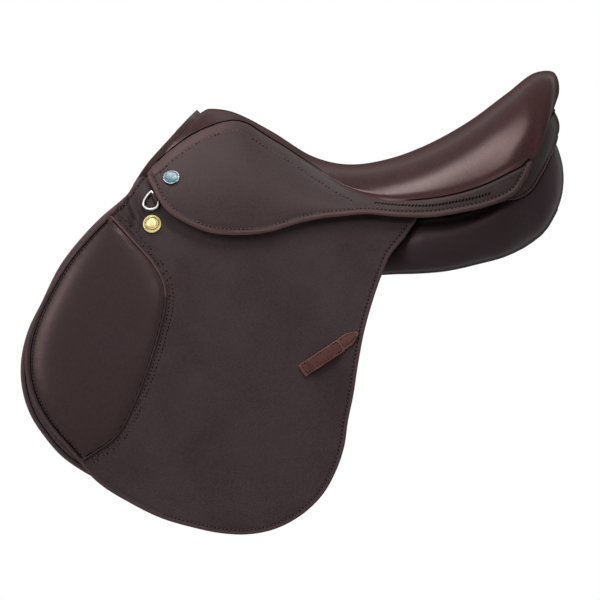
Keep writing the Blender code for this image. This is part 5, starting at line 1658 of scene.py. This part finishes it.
@dataclass
class UnderSide(SidePart):
    """What lies under one flap: sweat flap, blocks and girth straps."""

    depth: float = 14.0
    block_depth: float = 14.0
    thickness: float = 2.8
    strap_x: tuple = (-109.0, -76.0, -43.0)
    strap_names: tuple = ("front", "middle", "rear")
    strap_top: float = 40.0
    strap_bottom: float = -212.0
    strap_width: float = 23.4
    strap_thickness: float = 3.0
    strap_offsets: tuple = (8.2, 9.6)
    strap_point: float = 18.0
    holes: int = 8
    first_hole: float = 34.0
    hole_pitch: float = 22.0
    hole_radius: float = 2.3
    top: tuple = ((-231.0, 83.0), (-180.0, 62.0), (-100.0, 42.0), (0.0, 26.0), (38.0, 19.0))
    edge: tuple = (
        (-233.0, 80.5), (-239.2, 74.9), (-260.0, 57.2), (-280.8, 35.4), (-301.6, 8.3), (-322.4, -33.3),
        (-334.0, -57.0), (-342.5, -92.0), (-342.5, -112.0), (-332.8, -147.7), (-317.0, -172.0),
        (-299.0, -192.0), (-279.0, -206.0), (-250.0, -221.0), (-222.0, -233.0), (-192.0, -247.0),
        (-160.0, -256.0), (-130.0, -262.0), (-106.0, -263.0), (-81.0, -257.0), (-52.0, -242.0),
        (-35.0, -222.0), (-23.0, -198.0), (-13.0, -160.0), (-5.0, -115.0), (6.0, -62.0), (22.0, -12.0),
        (36.0, 16.0),
    )
    knee_front: tuple = (
        (-262.0, 30.0), (-288.0, 0.0), (-309.0, -36.0), (-320.0, -80.0), (-318.0, -112.0),
        (-302.0, -140.0),
    )
    knee_rear: tuple = (
        (-240.0, 18.0), (-258.0, -6.0), (-272.0, -38.0), (-279.0, -78.0), (-279.0, -108.0),
        (-274.0, -130.0),
    )
    thigh_front: tuple = ((-12.0, -62.0), (-17.0, -102.0), (-20.0, -138.0))
    thigh_rear: tuple = ((2.0, -62.0), (-4.0, -102.0), (-10.0, -138.0))

    def deep(self, x: np.ndarray) -> np.ndarray:
        """How far under the flap's face the sweat flap lies."""
        return self.depth + self.block_depth * step(-np.asarray(x, float), 180.0, 300.0)

    def sweat_height(self, x: np.ndarray, z: np.ndarray) -> np.ndarray:
        """The sweat flap's face, with its edge groove."""
        gap = distance_to(self.edge_line, x, z)
        return -self.deep(x) + 0.25 * hump(gap, 1.6, 1.5) - 0.35 * hump(gap, 5.0, 0.9)

    def block_height(self, front: tuple, rear: tuple) -> Height:
        """The face of a padded block between two edges."""
        ahead, behind = Spline(front).even(60), Spline(rear).even(60)

        def height(x: np.ndarray, z: np.ndarray) -> np.ndarray:
            """The block's face at x and z."""
            one, two = distance_to(ahead, x, z), distance_to(behind, x, z)
            ends = np.minimum(*(np.hypot(x - ahead[k, 0], z - ahead[k, 1]) for k in (0, -1)))
            crown = (1.0 - np.exp(-one / 5.0)) * (1.0 - np.exp(-two / 5.0))
            crown *= 1.0 - 0.6 * np.exp(-ends / 12.0)
            room = self.deep(x) - 6.2
            return -self.deep(x) + 1.6 + (room - 1.4) * crown

        return height

    def build(self) -> None:
        """Makes every piece under the flap."""
        self.edge_line = Spline(self.edge).even(300)
        sheet = SideHide(
            f"sweat_cover_{self.tag}", self.side, self.top, self.edge, self.sweat_height, self.thickness,
            rows=240, columns=34, mask_width=2.2, both_edges=False,
        )
        stands_for = (f"sweat_flap_{self.tag}",)
        settle(sheet.build(), Finish.SWEAT, "saddle_body", stands_for)
        inset = shifted(self.edge_line, 5.0)[6:-6]
        self.sew("sweat_stitches", inset, self.sweat_height, Finish.DARK_THREAD, "saddle_body")
        blocks = (("knee", self.knee_front, self.knee_rear), ("thigh", self.thigh_front, self.thigh_rear))
        for label, front, rear in blocks:
            block = SideHide(
                f"{label}_pad_{self.tag}", self.side, front, rear, self.block_height(front, rear), 1.4,
                rim=0.4, rows=70, columns=22, mask_width=2.0,
            )
            pad, stands_for = block.build(), (f"{label}_block_{self.tag}",)
            self.flatten_back(pad)
            settle(pad, Finish.INSERT, "saddle_body", stands_for)
        for name, x in zip(self.strap_names, self.strap_x):
            self.build_strap(name, x)

    def flatten_back(self, pad: Piece) -> None:
        """Lets a block's back lie on the sweat flap, so that the block is a full pad."""
        spots, normals = read_verts(pad), read_verts(pad, "normal")
        inside = normals[:, 1] * self.side.value < -0.25
        x, z = spots[:, 0] / MM, spots[:, 2] / MM
        back = self.side.value * (FORM.side(x, z) - self.deep(x) + 0.5) * MM
        spots[inside, 1] = back[inside]
        write_verts(pad, spots)

    def build_strap(self, name: str, x: float) -> None:
        """Makes one girth strap with its punched holes and edge creases."""
        heights = zip((self.strap_top, self.strap_bottom), self.strap_offsets)
        top, foot = (
            np.array((x, self.side.value * (float(FORM.side(x, z)) - offset), z)) for z, offset in heights
        )
        up, length = unit(top - foot), float(np.linalg.norm(top - foot))
        outward = np.cross((1.0, 0.0, 0.0), up)
        outward = outward if outward[1] * self.side.value > 0 else -outward
        half, half_thick = self.strap_width / 2.0, self.strap_thickness / 2.0

        def place(along: np.ndarray, across: np.ndarray) -> Pair:
            """The strap's outer face, its foot drawn in to a point."""
            down = along * length
            taper = np.clip((length - down) / self.strap_point, 0.0, 1.0)
            spot = (across * 2.0 - 1.0) * half * (0.50 + 0.50 * taper**0.8)
            lift = half_thick - 0.25 * hump(half - np.abs(spot), 2.6, 0.5)
            points = top - up * down[..., None] + outward * lift[..., None]
            points[..., 0] += spot
            return points, everywhere(outward, along)

        across = np.concatenate((shares(17), (0.06, 0.09, 0.11, 0.14, 0.86, 0.89, 0.91, 0.94)))
        strap = shell(
            f"girth_strap_cover_{name}_{self.tag}", place, shares(120), np.unique(across),
            self.strap_thickness, rim=0.6, mask=worn(0.04, end=0.01),
        )
        holes = (self.first_hole + self.hole_pitch * k for k in range(self.holes))
        self.punch(strap, [top - up * (length - hole) for hole in holes], outward)
        body, stands_for = f"strap_body_{name}_{self.tag}", (f"girth_strap_{name}_{self.tag}",)
        settle(strap, Finish.STRAP, body, stands_for)

    def punch(self, strap: Piece, spots: Sequence[np.ndarray], outward: np.ndarray) -> None:
        """Punches the row of buckle holes through a strap."""
        drop_selection()
        drills = []
        radius, depth = self.hole_radius * MM, 14.0 * MM
        for spot in spots:
            bpy.ops.mesh.primitive_cylinder_add(vertices=20, radius=radius, depth=depth)
            drill = bpy.context.object
            drill.matrix_world = standing(spot, outward)
            drills.append(drill)
        drop_selection()
        for drill in drills:
            drill.select_set(True)
        bpy.context.view_layer.objects.active = drills[0]
        bpy.ops.object.join()
        drill = bpy.context.object
        bpy.ops.object.transform_apply(location=True, rotation=True, scale=True)
        cut = strap.modifiers.new("holes", "BOOLEAN")
        cut.operation = "DIFFERENCE"
        cut.solver = "EXACT"
        cut.object = drill
        bake(strap)
        bpy.data.objects.remove(drill, do_unlink=True)
        make_smooth(strap, SHARP)


@dataclass
class Tree:
    """The tree inside: its wood and steel keep the solids' shapes and get their finishes."""

    finishes: dict = field(default_factory=lambda: {
        "tree_head": Finish.BEECH, "tree_seat_frame": Finish.BEECH, "head_plate": Finish.STEEL,
        "gullet_plate": Finish.STEEL, "spring_rail": Finish.STEEL, "stirrup_bar": Finish.STEEL,
        "bar_catch": Finish.STEEL, "catch_pin": Finish.STEEL, "girth_web": Finish.WEB,
        "seat_web": Finish.WEB,
    })
    rivets: tuple = ((-176.0, 73.2, 92.0), (-150.0, 73.2, 92.0))
    rivet_profile: tuple = ((3.2, 0.0), (3.1, 0.7), (2.6, 1.3), (1.6, 1.75), (0.6, 1.9))

    def build(self) -> None:
        """Dresses the carried nodes and sets the rivets."""
        for name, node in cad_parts.items():
            stem = name.replace("_left", "").replace("_right", "")
            if stem in self.finishes:
                dress(node, self.finishes[stem])
        for side in Side:
            for k, (x, y, z) in enumerate(self.rivets):
                spot, way = np.array((x, side.value * y, z)), np.array((0.0, side.value, 0.0))
                head = lathe(f"bar_rivet_{k}_{side.tag}", self.rivet_profile, spot, way, 24)
                settle(head, Finish.STEEL, "saddle_body")


@dataclass
class Studio:
    """Pale floor, soft light and the camera of the photograph."""

    centre: tuple = (-0.052, -0.12, -0.029)
    distance: float = 12.0
    width: float = 0.624
    floor: float = -0.385
    dim: float = 0.22
    sensor: float = 36.0

    def build_floor(self) -> None:
        """Makes the floor: it takes the shadow near the saddle and fades to white away from it."""
        drop_selection()
        bpy.ops.mesh.primitive_plane_add(size=40.0, location=(0.0, 0.0, self.floor))
        ground = bpy.context.object
        ground.name = "floor"
        made, graph, shader, where = begin_material("floor_white")
        shader.inputs["Base Color"].default_value = (0.86, 0.86, 0.86, 1.0)
        shader.inputs["Roughness"].default_value = 0.8
        reach = graph.add("VectorMath", operation="LENGTH")
        graph.link(where, reach.inputs[0])
        path = graph.add("LightPath").outputs
        seen = graph.calc("MAXIMUM", path["Is Camera Ray"], path["Is Glossy Ray"])
        far = graph.calc("MULTIPLY", graph.span(reach.outputs["Value"], 0.45, 1.5, 0.0, 1.0), seen)
        glow = graph.add("Emission", Strength=1.0)
        mix = graph.add("MixShader", Fac=far)
        graph.link(shader.outputs["BSDF"], mix.inputs[1])
        graph.link(glow.outputs["Emission"], mix.inputs[2])
        graph.link(mix.outputs["Shader"], made.node_tree.nodes["Material Output"].inputs["Surface"])
        ground.data.materials.append(made)

    def build_world(self) -> None:
        """White behind the object for the camera and for reflections, softer as light."""
        world = bpy.data.worlds.new("studio")
        world.use_nodes = True
        bpy.context.scene.world = world
        graph = Graph(world.node_tree)
        path = graph.add("LightPath").outputs
        seen = graph.calc("MAXIMUM", path["Is Camera Ray"], path["Is Glossy Ray"])
        seen = graph.calc("MAXIMUM", seen, path["Is Transmission Ray"])
        strength = graph.add("Mix", data_type="FLOAT", Factor=seen, A=self.dim, B=1.0)
        back = world.node_tree.nodes["Background"]
        graph.link(strength.outputs["Result"], back.inputs["Strength"])
        back.inputs["Color"].default_value = (1.0, 1.0, 1.0, 1.0)

    def add_light(self, name: str, place: tuple, target: tuple, size: tuple, watts: float) -> None:
        """Adds one soft rectangular light that faces a target."""
        lamp = bpy.data.lights.new(name, "AREA")
        lamp.shape = "RECTANGLE"
        lamp.size, lamp.size_y = size
        lamp.energy = watts
        holder = bpy.data.objects.new(name, lamp)
        bpy.context.collection.objects.link(holder)
        turn = (Vector(target) - Vector(place)).to_track_quat("-Z", "Y").to_matrix().to_4x4()
        holder.matrix_world = Matrix.Translation(Vector(place)) @ turn

    def build_lights(self) -> None:
        """Sets the lights."""
        self.add_light("key", (-0.30, -0.38, 1.50), (-0.03, -0.08, 0.0), (1.2, 0.24), 25.0)
        self.add_light("left", (-1.42, -1.15, 0.95), (-0.27, -0.14, -0.05), (0.30, 1.0), 15.0)
        self.add_light("front", (0.45, -2.1, 1.55), (0.0, 0.0, 0.0), (0.9, 0.6), 7.5)
        self.add_light("rear", (0.9, 1.5, 1.2), (0.0, 0.0, 0.0), (1.0, 0.8), 2.5)

    def build_camera(self) -> None:
        """Sets the camera level with the saddle's near side."""
        camera = bpy.data.cameras.new("camera")
        camera.sensor_width = self.sensor
        camera.lens = self.sensor * self.distance / self.width
        camera.clip_end = 60.0
        holder = bpy.data.objects.new("camera", camera)
        bpy.context.collection.objects.link(holder)
        x, y, z = self.centre
        place = Matrix.Translation((x, y - self.distance, z))
        holder.matrix_world = place @ Matrix.Rotation(math.radians(90.0), 4, "X")
        bpy.context.scene.camera = holder

    def build(self) -> None:
        """Makes the whole studio."""
        bpy.context.scene.view_settings.view_transform = "Standard"
        self.build_floor()
        self.build_world()
        self.build_lights()
        self.build_camera()


@dataclass
class Saddle:
    """The whole saddle."""

    needle: Needlework = field(default_factory=Needlework)

    def build(self) -> None:
        """Makes the seat, then each side from the inside out."""
        Tree().build()
        Seat(self.needle).build()
        for side in Side:
            for part in (Panel, UnderSide, Flap, Skirt, Fittings):
                part(side, self.needle).build()


def main() -> None:
    """Builds the saddle in its studio."""
    logging.basicConfig(level=logging.INFO, format="%(name)s: %(message)s")
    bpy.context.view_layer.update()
    Studio().build()
    Saddle().build()


if __name__ == "__main__":
    main()
